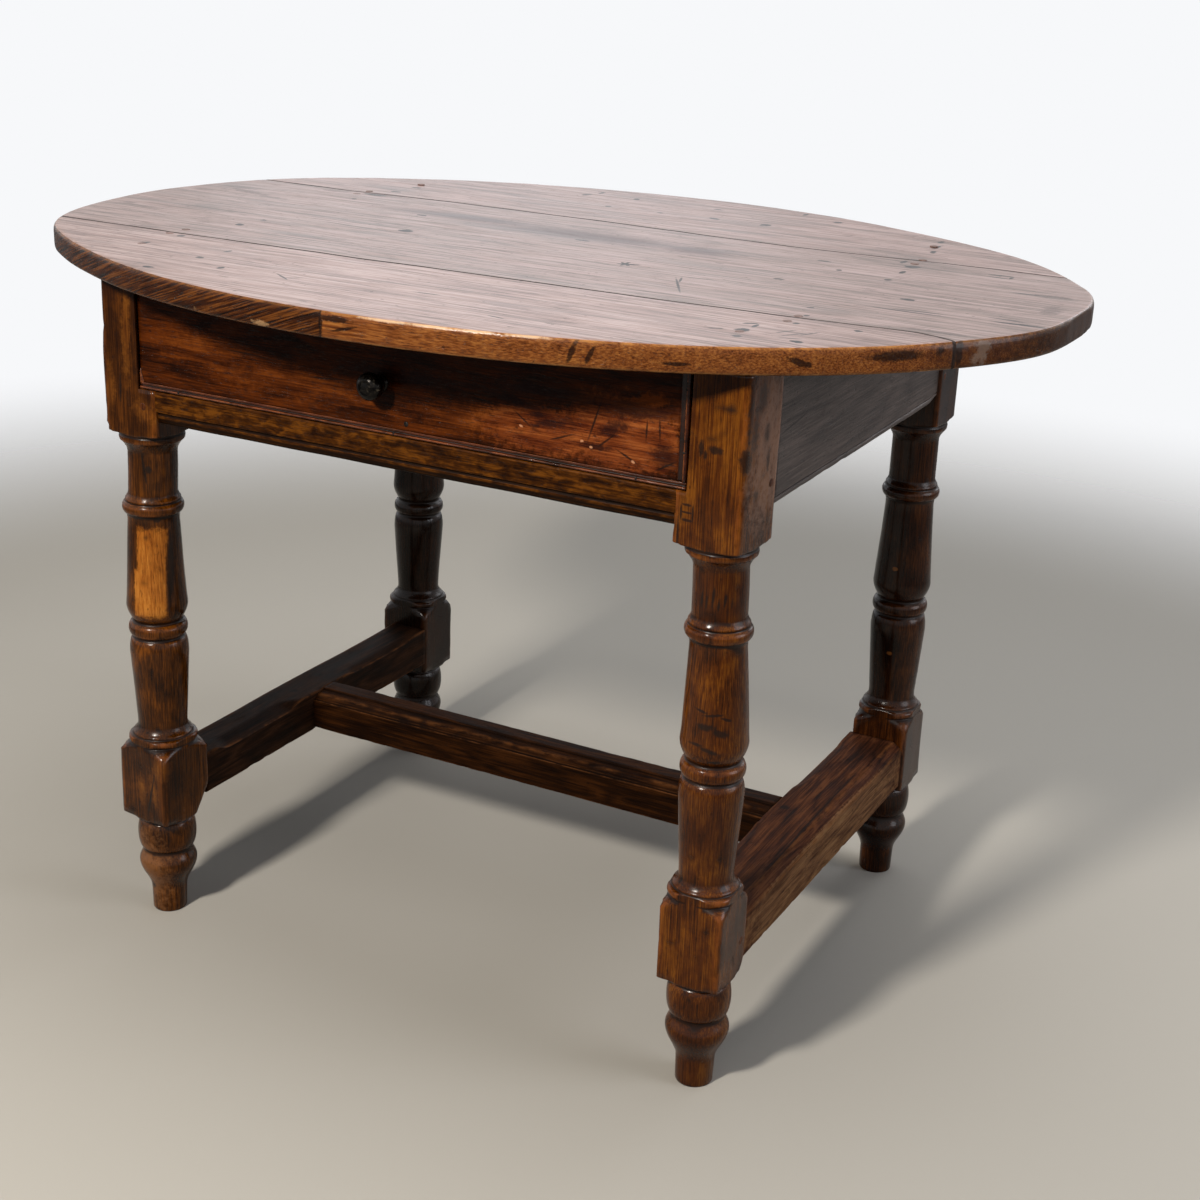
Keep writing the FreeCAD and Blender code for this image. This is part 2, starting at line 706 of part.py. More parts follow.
def drawer_back():
    """Drawer back standing on the bottom, between the pins cut for the sides' tails."""
    z = (groove_top + groove_clearance, side_top - drawer_back_drop)
    y = (drawer_end - drawer_back_thickness, drawer_end)
    board = box((-side_outer, side_outer), y, z)
    tools = back_tails(-1, fit) + back_tails(1, fit)
    return cut_all(board, tools)


def drawer_bottom():
    """Bottom board, slid in from behind under the back."""
    reach = side_inner + groove_depth
    y = (front_back - groove_depth, drawer_end)
    return box((-reach, reach), y, (groove_bottom, groove_top))


def bead_section(width, place):
    """Astragal with a fillet at its inner side; place(across, out) maps the section."""
    fillet = width * bead_fillet_share
    o = Outline((0.0, -bead_seat_depth + bead_gap), place=place)
    o.line(0.0, 0.0)
    o.arc(((width - fillet) / 2, bead_projection), (width - fillet, bead_fillet_height))
    o.line(width, bead_fillet_height).line(width, -bead_seat_depth + bead_gap)
    return o.face()


def drawer_bead_bottom():
    section = bead_section(bottom_bead_height - bead_gap,
                           lambda a, out: V(lip_left, face_y - out, front_bottom + a))
    bead = section.extrude(V(lip_right - lip_left, 0, 0))
    return cut_all(bead, face_nail_bores())


def drawer_bead_right():
    start = front_bottom + bottom_bead_height
    section = bead_section(side_bead_width - bead_gap,
                           lambda a, out: V(lip_right - a, face_y - out, start))
    bead = section.extrude(V(0, 0, front_top - start))
    return cut_all(bead, face_nail_bores())


def drawer_bead_left_stub():
    """Splintered foot of the left bead, which is broken away above it."""
    start = front_bottom + bottom_bead_height
    y = face_y + bead_seat_depth - bead_gap
    splinter = [(0.0, 0.0), (1.0, 0.0), (0.4, 0.55), (0.15, 1.0), (0.0, 0.9)]
    points = [(lip_left + stub_width * a, y, start + stub_height * b) for a, b in splinter]
    return prism(points, (0, -(bead_seat_depth + bead_projection * 0.6), 0))


def knob_hole():
    """Hole for the knob's round shank, through the drawer front."""
    return Part.makeCylinder(shank_radius + fit, drawer_front_thickness + 2 * over,
                             V(knob_x, front_back + over, knob_z), V(0, -1, 0))


def drawer_knob():
    """Turned knob, its shank through the drawer front."""
    inside = -drawer_front_thickness
    widest = (knob_neck_length + knob_length) / 2 + knob_foot_thickness
    o = Outline((0.0, inside), place=lambda r, out: V(knob_x + r, face_y - out, knob_z))
    o.line(shank_radius, inside).line(shank_radius, 0.0)
    o.line(knob_foot_radius, 0.0).line(knob_foot_radius, knob_foot_thickness)
    o.line(knob_neck_radius, knob_neck_length / 2).line(knob_foot_radius, knob_neck_length)
    o.arc((knob_radius, widest), (knob_radius / 2, knob_length - knob_face_dish))
    o.line(0.0, knob_length)
    return o.face().revolve(V(knob_x, 0, knob_z), V(0, 1, 0), 360)


def face_nail_places():
    """(x, z, y, length) of the nails driven into the drawer front from outside."""
    bead_z = front_bottom + bottom_bead_height / 2
    bead_x = lip_right - side_bead_width / 2
    out = face_y - bead_projection
    lone_z = front_bottom + bottom_bead_height + lone_nail_rise
    lone = [(lone_nail_x, lone_z, face_y, lone_nail_length)]
    reach = (lip_right - lip_left) * 0.42
    middle = (lip_right + lip_left) / 2
    along = [(middle + reach * i, bead_z, out, bead_nail_length) for i in (-1, 0, 1)]
    rise = front_top - front_bottom
    up = [(bead_x, front_bottom + rise * i, out, bead_nail_length) for i in (0.3, 0.8)]
    return lone + along + up


def face_nail_bores():
    return [split_rod((x, y - over, z), (0, 1, 0), nail_radius + fit, length + over + fit, sides=4)
            for x, z, y, length in face_nail_places()]


def nail(x, y, z, way, length):
    """Wrought nail: square shank, hammered head on (x, y, z), way into the wood."""
    shank = split_rod((x, y, z), way, nail_radius, length, sides=4)
    head = split_rod((x, y, z), [-c for c in way], nail_head_radius, nail_head_height)
    return shank.fuse(head).removeSplitter()


def drawer_nails():
    return [nail(x, y, z, (0, 1, 0), length) for x, z, y, length in face_nail_places()]


def guide_nails():
    shapes = []
    z = runner_top + guide_height
    for x, y in guide_nail_places():
        shapes += [nail(side * x, y, z, (0, 0, -1), nail_length) for side in (-1, 1)]
    return shapes


# ---- whole assembly ------------------------------------------------------
def leg(side, end):
    """One leg with its mortises, peg bores and, in front, the drawer rebate."""
    body = turned_leg().translated(V(side * leg_x, end * leg_y, 0))
    tools = [side_rail_tenon(side, end, fit), side_stretcher_tenon(side, end, fit)]
    if end < 0:
        tools += [front_rail_tenon(side, fit), drawer_rebate(side)]
    else:
        tools.append(back_rail_tenon(side, fit))
    tools += rail_peg_bores() + stretcher_peg_bores() + top_peg_bores()
    return cut_all(body, tools)


def build():
    whole = whole_top()
    far = top_width / 2 + over
    right_rail, right_runner, right_guide = side_rail(), runner(), guide()
    nodes = {
        "top_board_front": top_board(whole, -far, front_joint_y),
        "top_board_middle": top_board(whole, front_joint_y, back_joint_y),
        "top_board_back": top_board(whole, back_joint_y, far),
        "leg_front_left": leg(-1, -1),
        "leg_front_right": leg(1, -1),
        "leg_back_left": leg(-1, 1),
        "leg_back_right": leg(1, 1),
        "front_rail": front_rail(),
        "side_rail_left": mirror_x(right_rail),
        "side_rail_right": right_rail,
        "back_rail": back_rail(),
        "side_stretcher_left": side_stretcher(-1),
        "side_stretcher_right": side_stretcher(1),
        "cross_stretcher": cross_stretcher(),
        "drawer_runner_left": mirror_x(right_runner),
        "drawer_runner_right": right_runner,
        "drawer_guide_left": mirror_x(right_guide),
        "drawer_guide_right": right_guide,
        "top_pegs": Part.makeCompound(top_pegs()),
        "rail_pegs": Part.makeCompound(rail_pegs()),
        "stretcher_pegs": Part.makeCompound(stretcher_pegs()),
        "guide_nails": Part.makeCompound(guide_nails()),
        "drawer_front": drawer_front(),
        "drawer_side_left": drawer_side(-1),
        "drawer_side_right": drawer_side(1),
        "drawer_back": drawer_back(),
        "drawer_bottom": drawer_bottom(),
        "drawer_bead_bottom": drawer_bead_bottom(),
        "drawer_bead_right": drawer_bead_right(),
        "drawer_bead_left_stub": drawer_bead_left_stub(),
        "drawer_knob": drawer_knob(),
        "drawer_nails": Part.makeCompound(drawer_nails()),
    }
    return nodes


os.makedirs("parts", exist_ok=True)
for name, shape in build().items():
    shape.exportStep("parts/" + name + ".step")
    print(name, "solids", len(shape.Solids), "valid", shape.isValid(), "volume", round(shape.Volume))
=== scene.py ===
import math

import bmesh
import bpy
import numpy as np
from mathutils import Matrix, Vector, noise


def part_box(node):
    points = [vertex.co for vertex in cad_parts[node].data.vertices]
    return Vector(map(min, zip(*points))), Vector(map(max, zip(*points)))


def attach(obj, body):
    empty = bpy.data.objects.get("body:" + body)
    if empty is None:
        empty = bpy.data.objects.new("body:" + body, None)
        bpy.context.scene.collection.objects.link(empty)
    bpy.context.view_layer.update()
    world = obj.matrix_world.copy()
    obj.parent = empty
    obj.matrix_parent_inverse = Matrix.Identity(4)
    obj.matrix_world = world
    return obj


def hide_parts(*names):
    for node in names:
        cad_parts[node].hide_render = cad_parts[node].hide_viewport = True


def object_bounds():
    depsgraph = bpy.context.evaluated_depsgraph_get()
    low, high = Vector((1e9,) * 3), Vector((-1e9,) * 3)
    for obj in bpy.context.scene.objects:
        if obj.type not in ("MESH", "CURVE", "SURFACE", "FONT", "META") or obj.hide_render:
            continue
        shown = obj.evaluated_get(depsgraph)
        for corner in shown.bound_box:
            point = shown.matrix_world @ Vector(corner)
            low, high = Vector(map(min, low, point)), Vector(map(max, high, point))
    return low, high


# Tavern table: an oval top of three boards on four turned legs, an H stretcher
# and one drawer.  Lengths are written in millimetres and turned to metres by MM.

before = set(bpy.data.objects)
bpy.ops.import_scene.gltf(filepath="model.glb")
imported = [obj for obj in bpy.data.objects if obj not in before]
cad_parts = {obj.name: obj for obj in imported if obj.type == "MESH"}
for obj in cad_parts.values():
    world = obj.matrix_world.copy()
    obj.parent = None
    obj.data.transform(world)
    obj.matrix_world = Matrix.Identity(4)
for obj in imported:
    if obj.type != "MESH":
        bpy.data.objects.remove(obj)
cad_low, cad_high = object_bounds()
MM = 0.001


# ---- sizes taken from the frame, in millimetres -----------------------------
def corners(node):
    """Lowest and highest corner of a CAD node in millimetres."""
    low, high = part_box(node)
    return np.array(low) / MM, np.array(high) / MM


leg_low, leg_high = corners("leg_front_right")
rail_low, rail_high = corners("front_rail")
lip_low, lip_high = corners("drawer_front")
left_low, left_high = corners("side_stretcher_left")
right_low, right_high = corners("side_stretcher_right")
cross_low, cross_high = corners("cross_stretcher")
side_low, side_high = corners("side_rail_right")
back_low, back_high = corners("back_rail")
front_board_high = corners("top_board_front")[1]
back_board_low = corners("top_board_back")[0]

stock = leg_high[0] - leg_low[0]
leg_x = (leg_high[0] + leg_low[0]) / 2
leg_y = -(leg_high[1] + leg_low[1]) / 2
inner_x = leg_x - stock / 2
inner_y = leg_y - stock / 2
outer_y = leg_y + stock / 2
top_under = leg_high[2]
top_height = front_board_high[2]
top_half_length = cad_high[0] / MM
top_half_width = cad_high[1] / MM
front_joint = front_board_high[1]
back_joint = back_board_low[1]
drawer_face, drawer_front_back = lip_low[1], lip_high[1]
lip_back = drawer_face + 12.0
# the lips are worn a little short at both ends
drawer_left, drawer_right = lip_low[0] + 3.5, lip_high[0] - 5.0
drawer_body = corners("drawer_side_right")[1][0]
left_inner, right_inner = left_high[0], right_low[0]


# ---- mesh helpers --------------------------------------------------------------
def roughness(points, size, seed, amount=1.0):
    """Smooth noise from -amount to amount at each point; size is its coarseness in millimetres."""
    shift = Vector((seed * 7.31, seed * 3.17, seed * 5.53))
    flat = points.reshape(-1, 3)
    values = [noise.noise(Vector(p / size) + shift) for p in flat]
    return np.array(values).reshape(points.shape[:-1]) * amount


def smooth_step(low, high, values):
    """Smooth rise of the values from 0 at low to 1 at high."""
    t = np.clip((values - low) / (high - low), 0, 1)
    return t * t * (3 - 2 * t)


def steps(start, stop, size):
    """Even stations from start to stop, about size apart."""
    return np.linspace(start, stop, max(2, int(round(abs(stop - start) / size)) + 1))


def grid_faces(rows, columns):
    """Quads between neighbouring closed rows of points, with a face over each end."""
    faces = []
    for r in range(rows - 1):
        for c in range(columns):
            a = r * columns + c
            b = r * columns + (c + 1) % columns
            faces.append((a, b, b + columns, a + columns))
    faces.append(tuple(reversed(range(columns))))
    faces.append(tuple((rows - 1) * columns + c for c in range(columns)))
    return faces


def volume(points, faces):
    """Signed volume enclosed by the faces; negative when they face inwards."""
    total = 0.0
    for f in faces:
        for i in range(1, len(f) - 1):
            total += float(np.dot(points[f[0]], np.cross(points[f[i]], points[f[i + 1]])))
    return total


def piece(name, points, faces, body, material, stands_for, wear=None):
    """New visible piece in the frame's own place.  Its wear is a point attribute: 1 on rubbed
    corners, below 0 in hollows that hold dirt."""
    if volume(points, faces) < 0:
        faces = [tuple(reversed(f)) for f in faces]
    mesh = bpy.data.meshes.new(name)
    mesh.from_pydata([tuple(p) for p in points * MM], [], faces)
    mesh.shade_smooth()
    for polygon in mesh.polygons:
        polygon.use_smooth = len(polygon.vertices) < 5
    attribute = mesh.attributes.new("wear", "FLOAT", "POINT")
    if wear is not None:
        attribute.data.foreach_set("value", np.asarray(wear, np.float32).ravel())
    made = bpy.data.objects.new(name, mesh)
    bpy.context.scene.collection.objects.link(made)
    mesh.materials.append(material)
    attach(made, body)
    if stands_for:
        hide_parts(*stands_for)
    return made


def rounded_section(corner_list, step):
    """Closed outline of (a, b, radius, wear) corners with points about a step apart, and the wear
    at each point: a corner's wear is 1 unless it is given, and between dirty corners it stays dirty."""
    outline, wear = [], []
    corner_wear = [c[3] if len(c) > 3 else 1.0 for c in corner_list]
    count = len(corner_list)
    for i, corner in enumerate(corner_list):
        radius = corner[2]
        here = np.array(corner[:2], float)
        before = np.array(corner_list[i - 1][:2], float) - here
        after = np.array(corner_list[(i + 1) % count][:2], float) - here
        start = here + before / np.linalg.norm(before) * min(radius, np.linalg.norm(before) * 0.45)
        stop = here + after / np.linalg.norm(after) * min(radius, np.linalg.norm(after) * 0.45)
        for t in (0.0, 0.25, 0.5, 0.75, 1.0):
            outline.append((1 - t) ** 2 * start + 2 * t * (1 - t) * here + t ** 2 * stop)
            wear.append(corner_wear[i] * (1.0 - abs(t - 0.5)))
    dense, edge = [], []
    for i, point in enumerate(outline):
        following = (i + 1) % len(outline)
        span = outline[following] - point
        parts = max(1, int(np.linalg.norm(span) / step))
        between = min(0.0, max(wear[i], wear[following]))
        for k in range(parts):
            dense.append(point + span * k / parts)
            edge.append(wear[i] if k == 0 else between)
    return np.array(dense), np.array(edge)


def bar(name, section, stations, place, body, material, stands_for=(), *,
        seed, waviness, nicks, shape=None):
    """Piece swept along its length: place(a, b, s) maps the section; corners are nicked by use."""
    outline, edge = section
    around = np.roll(outline, -1, 0) - np.roll(outline, 1, 0)
    normal = np.stack([around[:, 1], -around[:, 0]], 1)
    normal /= np.maximum(np.linalg.norm(normal, axis=1), 1e-9)[:, None]
    following = np.roll(outline, -1, 0)
    normal *= np.sign(np.sum(outline[:, 0] * following[:, 1] - following[:, 0] * outline[:, 1]))
    rows = len(stations)
    spots = np.array([[place(a, b, s) for a, b in outline] for s in stations])
    convex = np.maximum(edge, 0)[None]
    chip = np.maximum(roughness(spots, 14.0, seed + 3) - 0.12, 0) * nicks * 2.2 * convex
    out = roughness(spots, 70.0, seed, waviness) - chip
    flat = np.repeat(outline[None], rows, 0) + normal[None] * out[..., None]
    if shape is not None:
        flat = shape(flat, np.asarray(stations))
    points = np.array([[place(a, b, s) for a, b in row] for row, s in zip(flat, stations)])
    wear = np.repeat(edge[None], rows, 0) - np.minimum(chip, 1.0)
    return piece(name, points.reshape(-1, 3), grid_faces(rows, len(outline)), body, material,
                 stands_for, wear)


# ---- colours and nodes ---------------------------------------------------------------
def linear(colour):
    """sRGB hex to the linear colour that shaders use."""
    parts = [int(colour[i:i + 2], 16) / 255 for i in (1, 3, 5)]
    return tuple(p / 12.92 if p <= 0.04045 else ((p + 0.055) / 1.055) ** 2.4 for p in parts) + (1.0,)


def add(tree, kind, inputs=None, out=0, stops=(), **settings):
    """Node with its settings and links, given back as one of its outputs.  Inputs map a socket to
    a number, a hex colour or another node's output; stops are a ramp's places and hex colours."""
    made = tree.nodes.new("ShaderNode" + kind)
    for key, value in settings.items():
        setattr(made, key, value)
    for i, (place, colour) in enumerate(stops):
        element = made.color_ramp.elements[i] if i < 2 else made.color_ramp.elements.new(place)
        element.position = place
        element.color = linear(colour)
    for key, value in (inputs or {}).items():
        if isinstance(value, bpy.types.NodeSocket):
            tree.links.new(value, made.inputs[key])
        else:
            made.inputs[key].default_value = linear(value) if isinstance(value, str) else value
    return made.outputs[out]


def finish(name):
    """New material, its node tree and its shader."""
    made = bpy.data.materials.new(name)
    made.use_nodes = True
    return made, made.node_tree, made.node_tree.nodes["Principled BSDF"]


def along_grain(tree, along, length, width, shift=0.0, tilt=0.0):
    """Object coordinates stretched along the grain: a unit is length by width millimetres.
    A tilt in degrees turns the grain up from its direction, and runs it on in depth."""
    place = add(tree, "TexCoord", out="Object")
    size = [width * MM, (length if tilt else width) * MM, width * MM]
    size["XYZ".index(along)] = length * MM
    start = (-shift * size[0], -shift * 0.7 * size[1], -shift * 1.3 * size[2])
    return add(tree, "Mapping", {0: place, 1: start, 2: (0, -math.radians(tilt), 0), 3: size},
               vector_type="TEXTURE")


def stained(tree, places, about="Z", soft=0.18, ragged=0.25, boxed=False):
    """Share from 0 to 1 of the nearest of some oval or boxed marks.  A mark is its centre and half
    sizes in millimetres and its turn in degrees; soft and ragged are shares of its half size.  Its
    edge is ragged about every 6 mm."""
    place = add(tree, "TexCoord", out="Object")
    nearest = 10.0
    for x, y, z, half_x, half_y, half_z, turn in places:
        turned = [0.0, 0.0, 0.0]
        turned["XYZ".index(about)] = math.radians(turn)
        inside = add(tree, "Mapping", {0: place, 1: (x * MM, y * MM, z * MM), 2: turned,
                                       3: (half_x * MM, half_y * MM, half_z * MM)}, vector_type="TEXTURE")
        if boxed:
            sides = add(tree, "SeparateXYZ", {0: add(tree, "VectorMath", {0: inside}, operation="ABSOLUTE")})
            far = add(tree, "Math", {0: sides, 1: sides.node.outputs[1]}, operation="MAXIMUM")
            far = add(tree, "Math", {0: far, 1: sides.node.outputs[2]}, operation="MAXIMUM")
        else:
            far = add(tree, "VectorMath", {0: inside}, "Value", operation="LENGTH")
        nearest = add(tree, "Math", {0: nearest, 1: far}, operation="MINIMUM")
    edge = add(tree, "TexNoise", {"Vector": place, "Scale": 160.0, "Detail": 4.0, "Roughness": 0.7})
    far = add(tree, "Math", {0: edge, 1: ragged * 4, 2: nearest}, operation="MULTIPLY_ADD")
    middle = 1 + ragged * 2
    return add(tree, "MapRange", {0: far, 1: middle - soft, 2: middle + soft, 3: 1.0, 4: 0.0},
               interpolation_type="SMOOTHSTEP")


def old_wood(name, along, tones, *, fibre, ring, mottle, dirt, grime, pores, holes, rubbed, rubbing,
             rough, gloss, relief, shift, shares=(0.35, 0.1, 0.55), stretch=2.2, spread=0.14,
             pore=0.8, tilt=0.0, bare=(), stains=()):
    """Old waxed wood.  Fibres, growth rings and patches of wax, in these shares, set its tone
    between a dark, a middle and a light one; pores, grime, worm holes and stains darken it, corners
    are rubbed lighter, hollows filled with dirt and bare places shown in tones of their own.
    Fibre, ring, mottle and pore are widths in millimetres; fibres are drawn about twice their real
    width, so that they show at arm's length."""
    made, tree, shader = finish(name)

    def grain(length, width, more=0):
        return along_grain(tree, along, length, width, shift + more, tilt)

    fibres = add(tree, "TexNoise", {"Vector": grain(fibre * 40, fibre),
                                    "Scale": 1.0, "Detail": 4.0, "Roughness": 0.62})
    # contour lines of a long slow noise make the arched figure of the rings
    figure = add(tree, "TexNoise", {"Vector": grain(ring * 22, ring * 3, 2),
                                    "Scale": 1.0, "Detail": 1.5, "Roughness": 0.5, "Distortion": 0.4})
    rings = add(tree, "Math", {0: figure, 1: 11.0}, operation="MULTIPLY")
    rings = add(tree, "Math", {0: rings, 1: 1.0}, operation="PINGPONG")
    patches = add(tree, "TexNoise", {"Vector": grain(mottle * stretch, mottle, 4),
                                     "Scale": 1.0, "Detail": 5.0, "Roughness": 0.6, "Distortion": 0.5})
    tone = add(tree, "Math", {0: fibres, 1: shares[0]}, operation="MULTIPLY")
    tone = add(tree, "Math", {0: rings, 1: shares[1], 2: tone}, operation="MULTIPLY_ADD")
    tone = add(tree, "Math", {0: patches, 1: shares[2], 2: tone}, operation="MULTIPLY_ADD")
    half = sum(shares) / 2

    def toned(dark, middle, light):
        return [(half - spread, dark), (half + spread, light), (half, middle)]

    # what lies over the wood, from the first coat to the last: how much of it, and its colour
    layers = []
    for bare_tones, share, manner, places in bare:
        spot = add(tree, "Math", {0: stained(tree, places, **manner), 1: share}, operation="MULTIPLY")
        layers.append((spot, add(tree, "ValToRGB", {0: tone}, stops=toned(*bare_tones))))
    # open pores: short dark dashes along the grain
    dashes = add(tree, "TexNoise", {"Vector": grain(pore * 11, pore, 6), "Scale": 1.0, "Detail": 2.0})
    dashes = add(tree, "MapRange", {0: dashes, 1: 0.60, 2: 0.72, 4: pores},
                 interpolation_type="SMOOTHSTEP")
    # old wax and dirt in ragged patches
    grimy = add(tree, "TexNoise", {"Vector": grain(30.0, 14.0, 8), "Scale": 1.0,
                                   "Detail": 7.0, "Roughness": 0.68, "Distortion": 0.8})
    grimy = add(tree, "MapRange", {0: grimy, 1: 0.55, 2: 0.70, 4: grime},
                interpolation_type="SMOOTHSTEP")
    # worm holes and dents, one to two millimetres across
    pits = add(tree, "TexVoronoi", {"Vector": grain(21.0, 15.0, 9), "Scale": 1.0}, "Distance")
    pits = add(tree, "MapRange", {0: pits, 1: 0.05, 2: 0.10, 3: holes, 4: 0.0},
               interpolation_type="SMOOTHSTEP")
    # corners rubbed in broken stretches
    wear = add(tree, "Attribute", out="Fac", attribute_name="wear")
    corner = add(tree, "MapRange", {0: wear, 1: 0.25, 2: 1.0, 4: rubbing},
                 interpolation_type="SMOOTHSTEP")
    broken = add(tree, "TexNoise", {"Vector": grain(22.0, 9.0, 11), "Scale": 1.0,
                                    "Detail": 5.0, "Roughness": 0.7})
    broken = add(tree, "MapRange", {0: broken, 1: 0.35, 2: 0.62}, interpolation_type="SMOOTHSTEP")
    corner = add(tree, "Math", {0: corner, 1: broken}, operation="MULTIPLY")
    layers += [(dashes, dirt), (grimy, dirt), (pits, dirt), (corner, rubbed)]
    for stain, share, manner, places in stains:
        spot = add(tree, "Math", {0: stained(tree, places, **manner), 1: share}, operation="MULTIPLY")
        layers.append((spot, stain))
    hollow = add(tree, "MapRange", {0: wear, 1: -0.05, 2: -0.75, 4: 0.9},
                 interpolation_type="SMOOTHSTEP")
    layers.append((hollow, dirt))
    colour = add(tree, "ValToRGB", {0: tone}, stops=toned(*tones))
    for share, coat in layers:
        colour = add(tree, "Mix", {0: share, 6: colour, 7: coat}, 2, data_type="RGBA")
    height = add(tree, "Math", {0: fibres, 1: 0.5}, operation="MULTIPLY")
    for field, depth in ((dashes, -1.0), (pits, -2.5), (patches, 1.2)):
        height = add(tree, "Math", {0: field, 1: depth, 2: height}, operation="MULTIPLY_ADD")
    bump = add(tree, "Bump", {"Height": height, "Distance": relief * MM})
    dull = add(tree, "Math", {0: patches, 1: 0.25, 2: rough - 0.125}, operation="MULTIPLY_ADD")
    for field, dulling in ((grimy, 0.25), (hollow, 0.2)):
        dull = add(tree, "Math", {0: field, 1: dulling, 2: dull}, operation="MULTIPLY_ADD")
    tree.links.new(colour, shader.inputs["Base Color"])
    tree.links.new(dull, shader.inputs["Roughness"])
    tree.links.new(bump, shader.inputs["Normal"])
    shader.inputs["Specular IOR Level"].default_value = gloss
    return made


# ---- finishes -------------------------------------------------------------------
DIRT = "#17100D"


def on_top(*places):
    """Marks on the table's upper face from (x, y, half length, half width, turn)."""
    return [(x, y, top_height, a, b, 6.0, turn) for x, y, a, b, turn in places]


# Marks on the top, each (x, y, half length, half width, turn).
PEG_LINES = [
    (318, 290, 3, 8, 0), (325, 255, 3, 12, 0), (332, 222, 3, 7, 10), (336, 162, 8, 5, 0),
    (343, 125, 8, 6, 20), (327, 145, 3, 7, 0), (345, 90, 2.5, 7, 0), (347, 43, 4, 4, 0),
    (290, 60, 3, 3.5, 0), (335, -125, 4, 3, 0), (345, -158, 3, 3, 0), (-315, 230, 6, 4, 0),
    (-315, 186, 7, 3.5, 0), (-320, 150, 15, 5, 0), (-321, 110, 3, 3, 0), (-315, -107, 6, 4.5, -20),
    (-312, -70, 3.5, 3, 0), (-320, -196, 4, 5, 0), (-322, -248, 4, 6, 0)
]
TOP_KNOTS = [
    (-160, -27, 8, 6, 0), (123, 264, 6, 8, 0), (60, 265, 9, 4.5, -35), (-73, 262, 4, 4, 0),
    (-5, 260, 5, 3, -20), (-128, 350, 3, 8, 0), (-135, 325, 4, 8, -20), (-73, 335, 4, 8, 20),
    (35, 330, 6, 3, 0), (180, 338, 6, 5, 0), (130, 365, 2.5, 7, 0), (12, 42, 9, 3, 0),
    (260, 95, 8, 3, 0), (395, -35, 8, 4, 0), (260, -20, 6, 2.5, 0), (110, -45, 12, 2.2, 20),
    (108, -46, 9, 2.2, -40), (107, -44, 2.4, 9, 0), (-200, 65, 6, 3, 0), (430, 138, 13, 2, 8),
    (432, 126, 12, 1.8, -6), (443, 132, 2, 5, 0), (-232, -275, 5, 3.5, -20), (-185, -303, 3, 5, 0),
    (-240, -340, 6, 3.5, 0), (-232, -233, 2.5, 6, 0), (322, -246, 6, 6, 0), (328, -270, 4, 3.5, 0),
    (318, -219, 7, 2, 30), (325, -226, 2, 7, 0), (300, -255, 9, 1.5, 30), (378, -260, 6, 4, 0),
    (350, -195, 3, 3, 0), (405, -190, 4, 3, 0)
]
TOP_SCRATCHES = [
    (195, -108, 32, 1.2, -61), (186, -84, 11, 1.2, -70), (197, -66, 17, 1.1, 8),
    (355, -230, 11, 1.1, 62), (364, -238, 12, 1.1, 60), (375, -226, 11, 1.1, 64),
    (368, -252, 10, 1.1, 20), (-385, -46, 115, 0.9, 1), (-210, -38, 60, 0.8, -3),
    (410, -86, 40, 1.6, 0), (420, -80, 22, 1.4, 3), (515, -78, 24, 3.0, 2), (500, -66, 18, 1.8, -4),
    (480, 60, 15, 1.8, 0), (30, -283, 14, 1.5, 4), (130, -330, 9, 1.4, -10), (-440, -258, 26, 1.2, -38),
    (-452, -240, 16, 1.1, -30), (-115, -302, 14, 1.2, -35), (-104, -300, 10, 1.2, 40),
    (250, 40, 26, 0.9, -3), (60, -120, 60, 0.8, 1), (-60, 200, 70, 0.8, -4), (-150, -205, 90, 0.8, 1),
    (90, -250, 70, 0.8, 3), (210, 215, 60, 0.8, -9), (-505, -184, 40, 2.4, 0), (-470, -185, 30, 1.6, 0)
]
TOP_SMUDGES = [
    (-470, 92, 24, 7, 0), (-440, 74, 30, 6, -14), (-400, 60, 20, 5, -8), (-490, 55, 12, 5, 0),
    (-370, 145, 20, 6, 0), (-495, -70, 9, 5, 0), (-430, -178, 12, 4, 0), (-380, -176, 16, 4, 0),
    (-310, 150, 26, 8, 0), (470, -150, 26, 4, 0), (520, 0, 8, 18, 0), (505, 62, 16, 7, 0)
]
TOP_STREAK = [(5, 70, 120, 24, 0), (130, 66, 40, 20, 0), (-150, 84, 90, 14, 0)]


def board_wood(name, tones, shift, low, high):
    """One board of the top: old fruitwood, scrubbed and waxed, pale and greyish, partly as a painted
    sheen, with fine dark checks along the grain, knots, the ends of old pegs and scratches.  Its fibres
    and checks are drawn two or three times their real width, so that they show from a few steps away."""
    def here(places):
        return on_top(*[p for p in places if low < p[1] < high])

    stains = [("#3A2E2E", 0.8, {"soft": 0.8, "ragged": 0.2}, here(TOP_STREAK)),
              ("#3A2B25", 0.55, {"soft": 0.6, "ragged": 0.7}, here(TOP_SMUDGES)),
              ("#0A0706", 0.95, {"soft": 0.35, "ragged": 0.2}, here(TOP_SCRATCHES)),
              ("#0A0706", 1.0, {"soft": 0.2, "ragged": 0.35}, here(PEG_LINES + TOP_KNOTS))]
    return old_wood(name, "X", tones, shares=(0.6, 0.04, 0.36), fibre=3.2, ring=12.0, mottle=16.0,
                    stretch=9.0, spread=0.085, dirt="#1E140F", grime=0.15, pore=2.2, pores=0.7,
                    holes=0.6, rubbed="#8A6248", rubbing=0.3, rough=0.40, gloss=0.36, relief=0.14,
                    shift=shift, stains=[stain for stain in stains if stain[3]])
